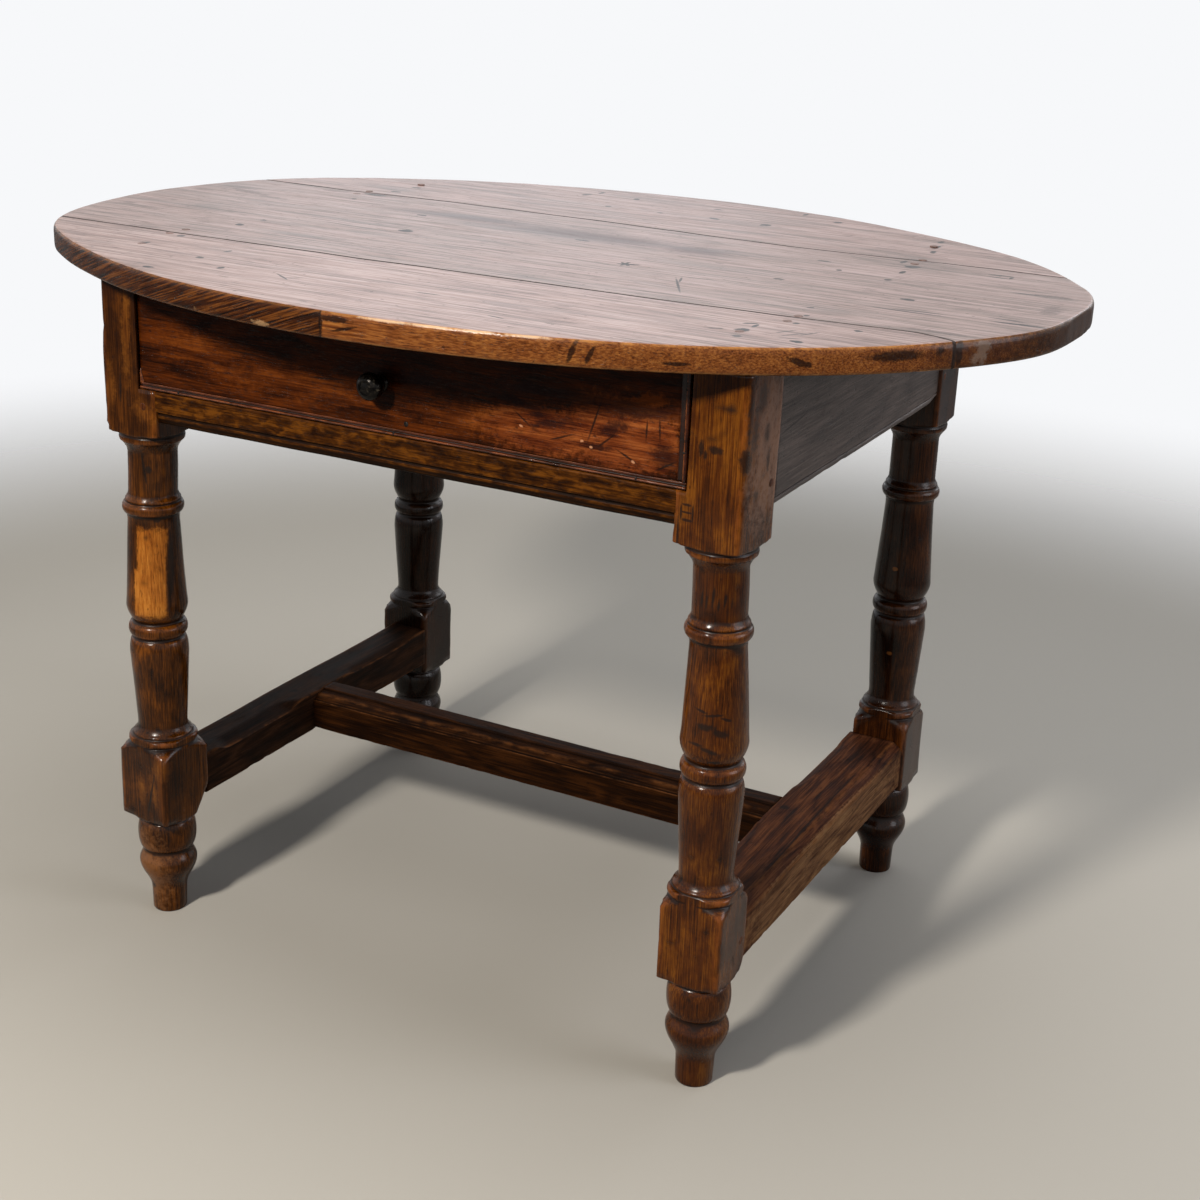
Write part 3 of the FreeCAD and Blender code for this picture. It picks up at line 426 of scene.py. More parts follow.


# Stains of the edge as (colour, share, manner, marks), from the painted shade that darkens both
# ends and the back to a painted highlight along the upper arris.
RIM_STAINS = [
    # painted shade: both ends and the back of the edge darkened
    ("#1A0B04", 0.8, {"soft": 0.6, "ragged": 0.5},
     [(-560, -130, 727, 130, 200, 30, 0), (548, 0, 727, 70, 150, 30, 0), (0, 420, 727, 520, 120, 30, 0)]),
    ("#301407", 0.5, {"soft": 0.4, "ragged": 0.5}, [(500, -160, 727, 40, 50, 30, 0)]),
    ("#150B07", 0.85, {"about": "Y", "soft": 0.3, "ragged": 0.4},
     [(-4, -397, 727, 2.0, 8, 10, 0), (10, -397, 734, 16, 8, 3.0, 0), (18, -397, 726, 13, 8, 1.2, -14),
      (222, -362, 729, 2.5, 8, 9, 20), (236, -357, 727, 2, 8, 9, 25), (452, -222, 731, 22, 26, 4.5, 0),
      (390, -280, 727, 12, 10, 3, 20), (490, -173, 730, 2.2, 9, 12, 0), (478, -186, 733, 3, 9, 5, 0),
      (300, -331, 724, 14, 9, 1.6, 0)]),
    ("#8C7868", 0.45, {"soft": 0.5, "ragged": 1.2}, [(503, -153, 728, 7, 8, 10, 0)]),
    ("#A98660", 0.6, {"about": "Y", "soft": 0.4, "ragged": 0.6},
     [(-70, -395, 719, 9, 8, 2.5, 0), (-150, -392, 719, 9, 8, 3, 25), (-212, -380, 728, 8, 8, 2, 35)]),
    # painted highlight: a pale line along the upper arris
    ("#E0C2A0", 0.55, {"soft": 0.5, "ragged": 0.5},
     [(60, -394, 738.6, 24, 3, 1.2, 2), (104, -390, 738.6, 24, 3, 1.2, 5), (148, -383, 738.6, 24, 3, 1.2, 8),
      (190, -373, 738.6, 22, 3, 1.2, 12)]),
]


def rim_wood():
    """Edge of the top, where end grain has drunk in wax: warm orange brown with fine fibres and
    pits. Painted shade darkens both ends and the back; its pale rubbed corners are partly painted highlight."""
    return old_wood("waxed_end_grain", "X", ("#3E1B09", "#703F1C", "#96602E"),
                    shares=(0.74, 0.06, 0.20), fibre=1.3, ring=8.0, mottle=12.0, spread=0.16,
                    dirt="#1A0D06", grime=0.25, pores=0.6, holes=0.6, rubbed="#B98248", rubbing=0.6,
                    rough=0.22, gloss=0.13, relief=0.22, shift=5.0, stains=RIM_STAINS)


def hatched_rim_wood():
    """Left part of the edge, where the grain comes out aslant: open fibres full of dark wax hatch
    it; they are drawn about 2 mm apart. Its darker tones are partly painted shade."""
    return old_wood("hatched_end_grain", "X", ("#140702", "#351807", "#623815"),
                    shares=(0.84, 0.02, 0.14), fibre=1.7, ring=8.0, mottle=12.0, spread=0.10,
                    dirt="#120803", grime=0.35, pore=1.2, pores=0.9, holes=0.5, rubbed="#8E5C2E",
                    rubbing=0.5, rough=0.26, gloss=0.13, relief=0.5, shift=6.0, tilt=20.0,
                    stains=RIM_STAINS)


def leg_wood(name, tones, shift, stains=(), rubbed="#84481A", bare=()):
    """Turned fruitwood legs with a hand-rubbed wax polish: orange brown where hands and feet have
    rubbed them, near black in the hollows of the turning, with a satin shine."""
    return old_wood(name, "Z", tones, shares=(0.52, 0.03, 0.45), fibre=1.3, ring=10.0, mottle=34.0,
                    stretch=1.6, spread=0.12, dirt="#100502", grime=0.3, pores=0.6, holes=0.45,
                    rubbed=rubbed, rubbing=0.6, rough=0.18, gloss=0.17, relief=0.09, shift=shift,
                    bare=bare, stains=stains)


def front_left_leg_wood():
    """Front left leg: dark old wax, cracked, with one flat of its vase scraped down to bare wood.
    Painted shade darkens its blocks, beside the drawer and under the top.
    """
    bare_patch = [(-311, -272, 403, 12.5, 16, 47, 0), (-312.5, -272, 381, 15.0, 16, 25, 0)]
    bare_spots = [
        (-320, -285, 663, 4.5, 8, 44, 2), (-344, -285, 600, 5, 8, 20, 0),
        (-300, -285, 578, 14, 8, 9, 20), (-300, -285, 186, 9, 9, 11, 0), (-330, -285, 152, 5, 9, 13, 0),
        (-312, -285, 160, 4, 9, 18, -12)
    ]
    cracks = [
        (-331, -285, 599, 1.3, 8, 14, 2), (-296.5, -263, 403, 2.0, 9, 46, 0),
        (-313, -276, 517, 1.2, 7, 20, -6), (-309, -275, 515, 3.2, 7, 3.5, 0),
        (-304, -270, 461, 3.0, 7, 3.0, 0), (-316, -285, 150, 1.4, 9, 26, 14)
    ]
    # painted shade beside the drawer and under the top
    shade = [
        (-302, -285, 690, 7, 9, 60, 0), (-296, -285, 620, 5, 9, 30, 0), (-340, -285, 700, 12, 9, 16, 0)
    ]
    # painted shade over the upper and the lower block
    dim = [(-322, -285, 640, 40, 20, 96, 0), (-310, -285, 160, 40, 20, 46, 0)]
    pale_foot = [(-330, -280, 50, 18, 22, 46, 0)]
    cleaned = ("#6A360C", "#9A5A1C", "#B8762E")
    bare = [(cleaned, 0.95, {"soft": 0.08, "ragged": 0.10, "boxed": True}, bare_patch),
            (cleaned, 0.5, {"about": "Y", "soft": 0.7, "ragged": 0.7}, bare_spots)]
    stains = [("#1E0B03", 0.42, {"soft": 0.3, "ragged": 0.3}, dim),
              ("#8E5E38", 0.52, {"soft": 0.7, "ragged": 0.7}, pale_foot),
              ("#1C0903", 0.7, {"soft": 0.7, "ragged": 0.4}, shade),
              (DIRT, 0.85, {"about": "Y", "soft": 0.4, "ragged": 0.3}, cracks)]
    return leg_wood("waxed_leg_front_left", ("#1A0901", "#402003", "#6C3B0D"), 21.0, stains, bare=bare)


def front_right_leg_wood():
    """Front right leg: the warmest, rubbed orange, with a chipped arris, a small carved square in
    its upper block, scratches round its neck and vase, painted shade beside the drawer, and an
    outer face paled by dust and a painted sheen."""
    arris = [
        (353, -285, 672, 3.0, 7, 42, 0), (351, -285, 637, 6.5, 8, 11, 0),
        (353.5, -284, 600, 1.4, 4, 30, 0)
    ]
    spots = [
        (308, -285, 643, 2.5, 8, 7, 0), (312, -285, 637, 2, 8, 4, 0), (322, -285, 643, 7, 8, 3.5, 0),
        (296.5, -285, 590, 5, 8, 1.2, 0), (297, -285, 583, 5.5, 8, 1.0, 0),
        (298, -285, 576, 5, 8, 1.3, 0), (291.5, -285, 583, 1.0, 8, 8, 0),
        (303, -285, 583, 1.0, 8, 8, 0), (289, -285, 560, 1.2, 8, 16, 0)
    ]
    neck = [(x, -276, z, 1.1, 7, h, 4) for x, z, h in
            ((313, 505, 8), (318, 503, 6), (324, 508, 9), (329, 501, 6), (334, 506, 8), (339, 503, 6))]
    vase = [
        (320, -284, 401, 7, 7, 1.3, 12), (333, -280, 398, 10, 7, 1.3, -8),
        (343, -275, 394, 5, 7, 1.3, 25), (326, -283, 386, 9, 7, 3.0, 0),
        (339, -278, 381, 8, 7, 3.5, 20), (318, -283, 368, 7, 7, 1.6, 0),
        (330, -281, 364, 9, 7, 2.2, 15), (335, -280, 352, 5, 7, 1.2, 0)
    ]
    side = [(355, -262, 690, 7, 9, 14, 0), (355, -250, 655, 7, 5, 8, 0), (355, -272, 660, 7, 6, 20, 0),
            (355, -244, 630, 7, 3, 10, 0), (355, -262, 600, 7, 4, 6, 0), (355, -236, 575, 7, 3, 9, 0)]
    # painted shade beside the drawer
    shade = [(292, -285, 650, 6, 9, 48, 0)]
    dim = [(322, -270, z, 40, 40, half_z, 0) for z, half_z in ((285, 50), (40, 55), (510, 30))]
    # outer face paled by dust and a painted sheen
    dust_and_sheen_face = [(362, -252, 640, 12, 60, 110, 0)]
    stains = [("#2A1004", 0.38, {"soft": 0.5, "ragged": 0.4}, dim),
              ("#1E0B04", 0.7, {"soft": 0.7, "ragged": 0.4}, shade),
              ("#8E6C58", 0.65, {"soft": 0.3, "ragged": 0.3}, dust_and_sheen_face),
              ("#1B110C", 0.75, {"soft": 0.7, "ragged": 0.8}, side),
              (DIRT, 0.85, {"about": "Y", "soft": 0.4, "ragged": 0.4}, arris + spots + neck + vase)]
    return leg_wood("waxed_leg_front_right", ("#200C02", "#4C2404", "#74430E"), 23.0, stains)


def back_left_leg_wood():
    """Back left leg: nearly black, the leg wood darkened as painted shade."""
    # tones and rubbed colour darkened as painted shade
    return leg_wood("waxed_leg_back_left_painted_shade", ("#0E0602", "#1F0F05", "#371D0B"), 25.0, rubbed="#4A2A14")


def back_right_leg_wood():
    """Back right leg: dark with painted shade, darkest in its upper block; two small chips of bare wood."""
    # painted shade over the upper block, under the top
    dim = [(340, 252, 640, 40, 60, 96, 0)]
    chips = [(323, 222, 385, 3.0, 8, 2.2, 0), (325, 222, 284, 3.0, 8, 2.2, 0)]
    stains = [("#0E0806", 0.4, {"soft": 0.3, "ragged": 0.4}, dim),
              ("#A86A34", 0.8, {"soft": 0.3, "ragged": 0.4}, chips)]
    # its tones are painted shade, darker than the front legs'
    return leg_wood("waxed_leg_back_right_painted_shade", ("#140702", "#2E1404", "#4F2A0D"), 27.0, stains,
                    rubbed="#6E3C18")


def rail_wood():
    """Front rail: oak mottled ochre, with painted shade in its moulding."""
    return old_wood("waxed_front_rail", "X", ("#1B0A02", "#3A1D04", "#61370C"),
                    shares=(0.36, 0.06, 0.58), fibre=1.4, ring=9.0, mottle=7.5, stretch=2.4,
                    spread=0.105, dirt="#100602", grime=0.5, pores=0.7, holes=0.5, rubbed="#5E3410",
                    rubbing=0.35, rough=0.38, gloss=0.06, relief=0.25, shift=7.0)


def side_wood(along, name):
    """Side and back rails: dry oak that has lost most of its polish, grey-brown partly as painted sheen."""
    crack = [(351, -185, 649, 6, 30, 1.0, 6)]
    # their grey tones are partly a painted sheen
    return old_wood(name, along, ("#302825", "#483E39", "#5D514B"), shares=(0.62, 0.1, 0.28), fibre=1.5,
                    ring=14.0, mottle=26.0, stretch=5.0, spread=0.14, dirt="#0E0A08", grime=0.25,
                    pores=0.7, holes=0.3, rubbed="#4E4038", rubbing=0.3, rough=0.46, gloss=0.2,
                    relief=0.3, shift=9.0,
                    stains=[(DIRT, 0.85, {"about": "X", "soft": 0.4, "ragged": 0.3}, crack)])


def stretcher_wood(along, name, tones, shift, stains=(), bare=()):
    """Stretchers rubbed by feet: dark purple-brown oak with paler worn tops."""
    return old_wood(name, along, tones, shares=(0.5, 0.12, 0.38), fibre=1.4, ring=8.0, mottle=20.0,
                    stretch=4.0, spread=0.11, dirt="#0E0704", grime=0.35, pores=0.8, holes=0.3,
                    rubbed="#6E4424", rubbing=0.55, rough=0.62, gloss=0.035, relief=0.2, shift=shift,
                    bare=bare, stains=stains)


def drawer_wood():
    """Drawer front: red-brown polished board, scratched, with bare orange patches at its right."""
    y = drawer_face
    scraped = [(230, y, 640, 62, 8, 32, 0), (150, y, 632, 62, 8, 20, 0)]
    warm = [(80, y, 630, 60, 8, 12, 0), (-120, y, 634, 60, 8, 12, 0), (-230, y, 650, 40, 8, 16, 0)]
    wedge = [(257, y, 675, 15, 8, 6, -12)]
    dark = [(247, y, 664, 35, 8, 6.5, -6), (222, y, 646, 15, 8, 6, -25), (150, y, 668, 50, 8, 5, 0),
            (120, y, 655, 30, 8, 4, 10), (272, y, 628, 11, 8, 9, 10), (0, y, 660, 60, 8, 5, 0),
            (160, y, 640, 16, 8, 4, -8), (205, y, 626, 14, 8, 3, 0), (146, y, 646, 7, 8, 3.5, 0)]
    scratches = [
        (254, y, 649, 0.9, 8, 9, 2), (266.5, y, 651, 0.9, 8, 9, -3), (203, y, 649, 1.0, 8, 19, 18),
        (170, y, 629, 12, 8, 0.9, -20), (130, y, 640, 9, 8, 0.8, 35), (90, y, 650, 14, 8, 0.8, 8),
        (-80, y, 645, 22, 8, 0.8, -4), (-170, y, 655, 30, 8, 0.8, 2), (274, y, 620, 10, 8, 1.0, -30),
        (236, y, 622, 12, 8, 0.9, 25), (215, y, 633, 9, 8, 0.9, -40)
    ]
    glints = [
        (129, y, 632.7, 1.8, 8, 1.0, 20), (191, y, 629, 1.8, 8, 1.2, -20),
        (200, y, 625, 1.6, 8, 1.0, 0), (242, y, 618.4, 1.8, 8, 1.2, 30)
    ]
    bare = [(("#4A1C0A", "#7E3E1C", "#A05A2C"), 0.72, {"about": "Y", "soft": 0.35, "ragged": 0.5}, scraped),
            (("#3A1603", "#5E2C0C", "#7A4014"), 0.5, {"about": "Y", "soft": 0.8, "ragged": 0.9}, warm)]
    stains = [("#8A4414", 0.8, {"about": "Y", "soft": 0.4, "ragged": 0.6}, wedge),
              ("#1D0C0B", 0.8, {"about": "Y", "soft": 0.6, "ragged": 0.7}, dark),
              (DIRT, 0.85, {"about": "Y", "soft": 0.5, "ragged": 0.3}, scratches),
              ("#C08A66", 0.8, {"about": "Y", "soft": 0.4, "ragged": 0.4}, glints)]
    return old_wood("polished_drawer_front", "X", ("#180702", "#351402", "#522406"),
                    shares=(0.45, 0.08, 0.47), fibre=1.4, ring=12.0, mottle=11.0, stretch=4.5,
                    spread=0.10, dirt="#100502", grime=0.45, pores=0.65, holes=0.6, rubbed="#7A4018",
                    rubbing=0.6, rough=0.28, gloss=0.08, relief=0.16, shift=13.0, bare=bare,
                    stains=stains)


def bead_wood():
    """Beads of the drawer: dark wax with bright rubbed edges."""
    return old_wood("drawer_beads", "X", ("#180802", "#301204", "#4A200A"), fibre=1.2, ring=8.0,
                    mottle=14.0, dirt="#0A0402", grime=0.4, pores=0.4, holes=0.2, rubbed="#8A4E2A",
                    rubbing=0.75, rough=0.24, gloss=0.3, relief=0.12, shift=17.0)


def inside_wood(along, name, shift):
    """Unpolished pine and oak inside, dusty and dry."""
    return old_wood(name, along, ("#5A3E28", "#8A6644", "#A58058"), shares=(0.5, 0.1, 0.4), fibre=1.5,
                    ring=12.0, mottle=40.0, stretch=4.0, spread=0.16, dirt="#3A2818", grime=0.3,
                    pores=0.4, holes=0.3, rubbed="#A88460", rubbing=0.4, rough=0.72, gloss=0.3,
                    relief=0.25, shift=shift)


def peg_wood(name, tones):
    """End grain of split pegs, dark with dirt."""
    return old_wood(name, "Z", tones, fibre=1.0, ring=4.0, mottle=6.0, dirt="#0C0604", grime=0.5,
                    pores=0.5, holes=0.2, rubbed="#6A4020", rubbing=0.4, rough=0.4, gloss=0.15,
                    relief=0.2, shift=19.0)


def forged_iron():
    """Hand-forged nails: iron gone black, dull in its pits and a little bright on its hammer marks."""
    made, tree, shader = finish("blackened_iron_nails")
    scale = add(tree, "TexNoise", {"Vector": along_grain(tree, "X", 2.5, 2.5), "Scale": 1.0, "Detail": 4.0,
                                   "Roughness": 0.6})
    colour = add(tree, "ValToRGB", {0: scale}, stops=[(0.35, "#0D0B0A"), (0.65, "#2C2825")])
    dull = add(tree, "MapRange", {0: scale, 1: 0.3, 2: 0.7, 3: 0.4, 4: 0.65})
    bump = add(tree, "Bump", {"Height": scale, "Distance": 0.2 * MM})
    tree.links.new(colour, shader.inputs["Base Color"])
    tree.links.new(dull, shader.inputs["Roughness"])
    tree.links.new(bump, shader.inputs["Normal"])
    shader.inputs["Metallic"].default_value = 0.85
    return made


def knob_metal():
    """Turned brass knob, nearly black with handling: glossy, with small dull grey mottles."""
    made, tree, shader = finish("darkened_brass_knob")
    tarnish = add(tree, "TexNoise", {"Vector": along_grain(tree, "X", 5.0, 5.0), "Scale": 1.0, "Detail": 5.0,
                                     "Roughness": 0.65, "Distortion": 0.5})
    colour = add(tree, "ValToRGB", {0: tarnish},
                 stops=[(0.45, "#0D0A08"), (0.72, "#5E564A"), (0.60, "#1E1914")])
    dull = add(tree, "MapRange", {0: tarnish, 1: 0.4, 2: 0.65, 3: 0.16, 4: 0.36})
    bump = add(tree, "Bump", {"Height": tarnish, "Distance": 0.15 * MM})
    tree.links.new(colour, shader.inputs["Base Color"])
    tree.links.new(dull, shader.inputs["Roughness"])
    tree.links.new(bump, shader.inputs["Normal"])
    shader.inputs["Metallic"].default_value = 0.8
    return made


# ---- legs -------------------------------------------------------------------------
# Turning of a leg from the floor up: how each stretch runs, where it ends (height and
# radius) and, for a bead, how far it swells.
TURNING = [
    ("line", 1.5, 18.4, 0), ("line", 26.0, 19.2, 0), ("ogee", 61.0, 31.1, 0),
    ("ogee", 77.0, 26.2, 0), ("bead", 113.0, 26.4, 5.1), ("line", 116.5, 29.0, 0),
    ("line", 117.0, 34.0, 0), ("line", 119.5, 46.5, 0), ("line", 195.0, 46.5, 0),
    ("line", 204.5, 35.0, 0), ("line", 205.5, 33.5, 0), ("bead", 214.0, 33.0, 3.2),
    ("line", 214.5, 31.2, 0), ("bead", 218.5, 29.6, 1.1), ("cove", 226.5, 26.0, 0),
    ("line", 232.0, 26.1, 0), ("line", 308.0, 30.8, 0), ("shoulder", 325.5, 27.0, 0),
    ("line", 327.6, 25.7, 0), ("bead", 343.6, 25.7, 5.0), ("line", 345.0, 25.4, 0),
    ("round", 363.0, 32.0, 0), ("line", 372.0, 31.2, 0), ("line", 456.0, 26.4, 0),
    ("line", 463.5, 26.9, 0), ("bead", 476.5, 27.0, 4.6), ("line", 477.0, 28.2, 0),
    ("bead", 480.5, 27.4, 0.6), ("cove", 486.0, 25.4, 0), ("line", 530.0, 25.3, 0),
    ("flare", 541.0, 30.6, 0), ("line", 541.6, 31.2, 0), ("bead", 549.5, 31.6, 1.9),
    ("line", 551.0, 34.0, 0), ("round", 554.5, 47.0, 0), ("line", 715.5, 47.0, 0),
]
CURVED_STEP = 1.3
STRAIGHT_STEP = 7.0


def turned_rows():
    """Heights and radii of the turning, close together where it curves."""
    heights, radii = [0.0], [17.8]
    for how, height, radius, swell in TURNING:
        start, first = heights[-1], radii[-1]
        size = STRAIGHT_STEP if how == "line" else CURVED_STEP
        parts = max(1, int(math.ceil((height - start) / size)))
        for k in range(1, parts + 1):
            t = k / parts
            share = {"ogee": (1 - math.cos(math.pi * t)) / 2, "round": math.sin(math.pi / 2 * t),
                     "shoulder": 1 - math.sqrt(max(0, 1 - t * t)), "cove": math.sin(math.pi / 2 * t),
                     "flare": 1 - math.cos(math.pi / 2 * t)}.get(how, t)
            heights.append(start + (height - start) * t)
            radii.append(first + (radius - first) * share + swell * math.sqrt(max(0, 1 - (2 * t - 1) ** 2)))
    return np.array(heights), np.array(radii)


def turned_leg(node, side, end, seed, material, path=((0, 0, 0, 1),), cuts=()):
    """One leg: squared stock turned between its blocks, worn, with the drawer's rebate in front.
    Its path gives by height how far it stands sideways in millimetres, the twist of its blocks in
    degrees and their share of the stock.  Cuts are planes (x, y, z, most, start) above a height."""
    heights, turned = turned_rows()
    rebate_bottom = rail_high[2]
    if end < 0:
        heights = np.sort(np.append(heights, [rebate_bottom - 0.2, rebate_bottom + 0.2]))
        turned = np.interp(heights, *turned_rows())
    lip_edge = lip_low[0] - 1.0 if side < 0 else lip_high[0] + 1.5
    rebate_x = leg_x - abs(lip_edge)
    rebate_y = -lip_back - 0.5 - leg_y
    columns = 112
    angles = np.linspace(0, 2 * math.pi, columns + 1)[:-1]
    if end < 0:
        turns = [math.atan2(-stock / 2, -side * rebate_x), math.atan2(-rebate_y, -side * rebate_x),
                 math.atan2(-rebate_y, -side * stock / 2)]
        angles = np.sort(np.append(angles, [(a + d) % (2 * math.pi) for a in turns for d in (-0.004, 0.004)]))
    c, s = np.cos(angles)[None], np.sin(angles)[None]
    z = heights[:, None] * np.ones_like(c)
    mean_radius = 30
    flat = np.stack([c * mean_radius + 0 * z, s * mean_radius + 0 * z, z], -1)
    # the blocks are squares whose corners are sharper where the power is higher
    power = 26 + roughness(flat, 40.0, seed) * 14
    square = (stock / 2) * (np.abs(c) ** power + np.abs(s) ** power) ** (-1 / power)
    corner = smooth_step(stock * 0.60, stock * 0.68, square)
    path_heights, *ways = np.array(path, float).T
    offset, twist, size = [np.interp(heights, path_heights, way)[:, None] for way in ways]
    square = square * size
    for cut_x, cut_y, cut_z, most, start in cuts:
        across = np.maximum(cut_x * c + cut_y * s, 1e-6)
        square = np.where(z > start, np.minimum(square, (most - cut_z * z) / across), square)
    # the turning tool rounds the place where a block meets a turned part
    softness = 0.5
    radius = np.minimum(square, turned[:, None])
    radius = radius - softness * np.log1p(np.exp(-np.abs(square - turned[:, None]) / softness))
    if end < 0:
        wall = np.maximum(rebate_x / np.maximum(-side * c, 1e-6), rebate_y / np.maximum(-s, 1e-6))
        rebated = (z > rebate_bottom) & (-side * c > 0) & (s < 0)
        radius = np.where(rebated, np.minimum(radius, wall), radius)
    # convex rings are rubbed and hollows hold dirt: how far each height stands out from the mean
    # of the 9 mm about it
    reach = 9
    fine = np.arange(0, heights[-1] + 0.25, 0.5)
    limited = np.minimum(turned, stock * 0.62)
    even = np.pad(np.interp(fine, heights, limited), reach, mode="edge")
    even = np.convolve(even, np.ones(2 * reach + 1) / (2 * reach + 1), mode="valid")
    proud = limited - np.interp(heights, fine, even)
    wear = np.clip(proud[:, None] / 1.1 + 0 * z, -1, 1)
    wear = np.where(turned[:, None] > square + 1.0, corner * 0.9, wear)
    nick = np.maximum(roughness(flat, 11.0, seed + 2) - 0.24, 0) * 2.0
    wobble = roughness(flat, 55.0, seed + 1, 0.45) - nick * np.clip(wear, 0.1, 1.0)
    fade = smooth_step(0.0, 4.0, z) * smooth_step(715.6, 705.0, z)
    radius = radius + wobble * fade
    turned_angles = angles[None] + np.radians(twist)
    x = side * leg_x + radius * np.cos(turned_angles) + offset
    y = end * leg_y + radius * np.sin(turned_angles)
    points = np.stack([x, y, z], -1)
    return piece("turned_" + node, points.reshape(-1, 3), grid_faces(*points.shape[:2]), "table",
                 material, (node,), wear - nick * 0.6)


# ---- top -------------------------------------------------------------------------
# How far the worn oval stands outside a true ellipse near its ends (turn in degrees,
# millimetres), and how the joints between the boards wander (x, y).
OVAL_SWELL = [
    (-180, -15), (-172, -13), (-165, -7), (-160, -0.5), (-155, 5), (-150, 9.5), (-145, 9.5),
    (-140, 5.5), (-134, 2.5), (-129, 0), (-125, 0), (-25, 0), (-20, 1.5), (-15, 3.6), (-10, 3.9),
    (-5, 1.5), (0, 0.5), (5, 3), (10, 4.9), (16, 4.2), (21, -1), (28, -3), (40, -3), (50, -7), (60, -9),
    (70, -5), (85, -4), (110, -5), (125, -2), (145, -4), (158, -11), (168, -17), (180, -15)
]
BACK_DROOP = 1.8
FRONT_JOINT_LINE = [
    (-545, -184), (-485, -184), (-260, -185), (0, -181), (180, -178), (320, -173), (400, -167),
    (450, -163), (475, -170), (492, -181), (545, -190)
]
BACK_JOINT_LINE = [(-545, 161), (-475, 160), (-360, 157), (-210, 166), (-60, 164), (90, 156), (200, 151),
                   (300, 157), (360, 166), (475, 169), (545, 169)]


def joint_shift(x, y):
    """How far a point of the straight-jointed top moves in y to follow the wandering joints."""
    shift = 0.0
    for line, joint in ((FRONT_JOINT_LINE, front_joint), (BACK_JOINT_LINE, back_joint)):
        xs, ys = np.array(line).T
        near = 1 - np.clip(np.abs(y - joint) / 110.0, 0, 1)
        shift = shift + (np.interp(x, xs, ys) - joint) * near
    return shift


def oval_slab():
    """Whole oval top as rings of points, undulating above and chipped at its edge, with its wear."""
    columns = 900
    turns = np.linspace(0, 2 * math.pi, columns + 1)[:-1]
    thick = top_height - top_under
    edge = [(-9.0, 0.0), (-4.0, 0.0), (-1.9, 0.35), (-0.7, 1.5), (-0.15, 3.2), (0.0, 6.0), (0.0, 10.0),
            (0.0, 14.0), (0.0, 18.0), (-0.25, 20.6), (-0.9, 22.6), (-2.0, 23.9), (-3.8, thick), (-9.0, thick)]
    c, s = np.cos(turns), np.sin(turns)
    outward = np.stack([c / top_half_length, s / top_half_width, 0 * c], 1)
    outward /= np.linalg.norm(outward, axis=1)[:, None]
    swell = np.interp((np.degrees(turns) + 180) % 360 - 180, *np.array(OVAL_SWELL).T)
    swell = sum(np.roll(swell, k) for k in range(-6, 7)) / 13
    rings, wear = [], []

    def ring(inset, share, z, worn=0.0):
        flat = np.stack([(top_half_length + inset) * c, (top_half_width + inset) * s, 0 * c], 1)
        flat = (flat + outward * swell[:, None]) * share
        flat[:, 0] = np.clip(flat[:, 0], -top_half_length + 0.2, top_half_length - 0.2)
        rings.append(flat + (0, 0, z))
        wear.append(worn + 0 * c)

    for share in np.linspace(0.1, 0.95, 8):
        ring(-9.0, share, top_under)
    spots = np.stack([top_half_length * c, top_half_width * s, top_under + 0 * c], 1)
    slow = roughness(spots, 60.0, 31, 0.9)
    chips = np.maximum(roughness(spots, 9.0, 33) - 0.1, 0) * 3.0
    chips = chips * (smooth_step(-300, -480, spots[:, 0]) + 0.35)
    for inset, drop in edge:
        ragged = roughness(spots + (0, 0, drop), 13.0, 35, 0.45)
        dent = chips * (1.0 if drop < 4 else 0.25 if drop > 20 else 0.1)
        share = (1.0 if inset > -5 else 0.0) * (1.0 if inset > -1.5 else 0.35)
        ring(inset, 1, top_under + drop, (0.8 if -3.9 <= inset < -0.5 else 0.0) - dent * 0.3)
        rings[-1] += outward * (np.minimum(slow * 0.5 + ragged - dent, 0.0) * share)[:, None]
    for share in np.linspace(0.975, 0.02, 34):
        ring(-9.0, share, top_height)
    points = np.array(rings)
    upper = points[..., 2] > top_height - 0.01
    sag = np.abs(roughness(points * (0.5, 1, 1), 55.0, 37, 0.9)) + 0.1
    points[..., 2] -= np.where(upper, sag, 0.0)
    droop = BACK_DROOP * smooth_step(100, 360, points[..., 1])
    points[..., 2] -= droop * smooth_step(top_under + 8, top_height, points[..., 2])
    return points, np.array(wear)


JOINT_GAP = 0.5
JOINT_DIRT = 2.2


def saw(mesh, wear, y, sign):
    """Cut away what lies beyond a joint, close the cut, break its upper edge and leave a strip of
    dirt beside it."""
    for reach, clear in ((JOINT_DIRT, False), (0.0, True)):
        everything = mesh.verts[:] + mesh.edges[:] + mesh.faces[:]
        cut = bmesh.ops.bisect_plane(
            mesh, geom=everything, plane_co=(0, y + sign * reach, 0), plane_no=(0, 1, 0),
            clear_inner=clear and sign > 0, clear_outer=clear and sign < 0)
    outline = [e for e in cut["geom_cut"] if isinstance(e, bmesh.types.BMEdge)]
    bmesh.ops.contextual_create(mesh, geom=outline)
    border = [e for e in mesh.edges
              if all(abs(v.co.y - y) < 0.01 and v.co.z > top_height - 3 for v in e.verts)]
    bmesh.ops.bevel(mesh, geom=border, offset=1.1, segments=2, affect="EDGES", profile=0.5)
    for v in mesh.verts:
        if abs(v.co.y - y) < JOINT_DIRT - 0.3:
            v[wear] = -1.0


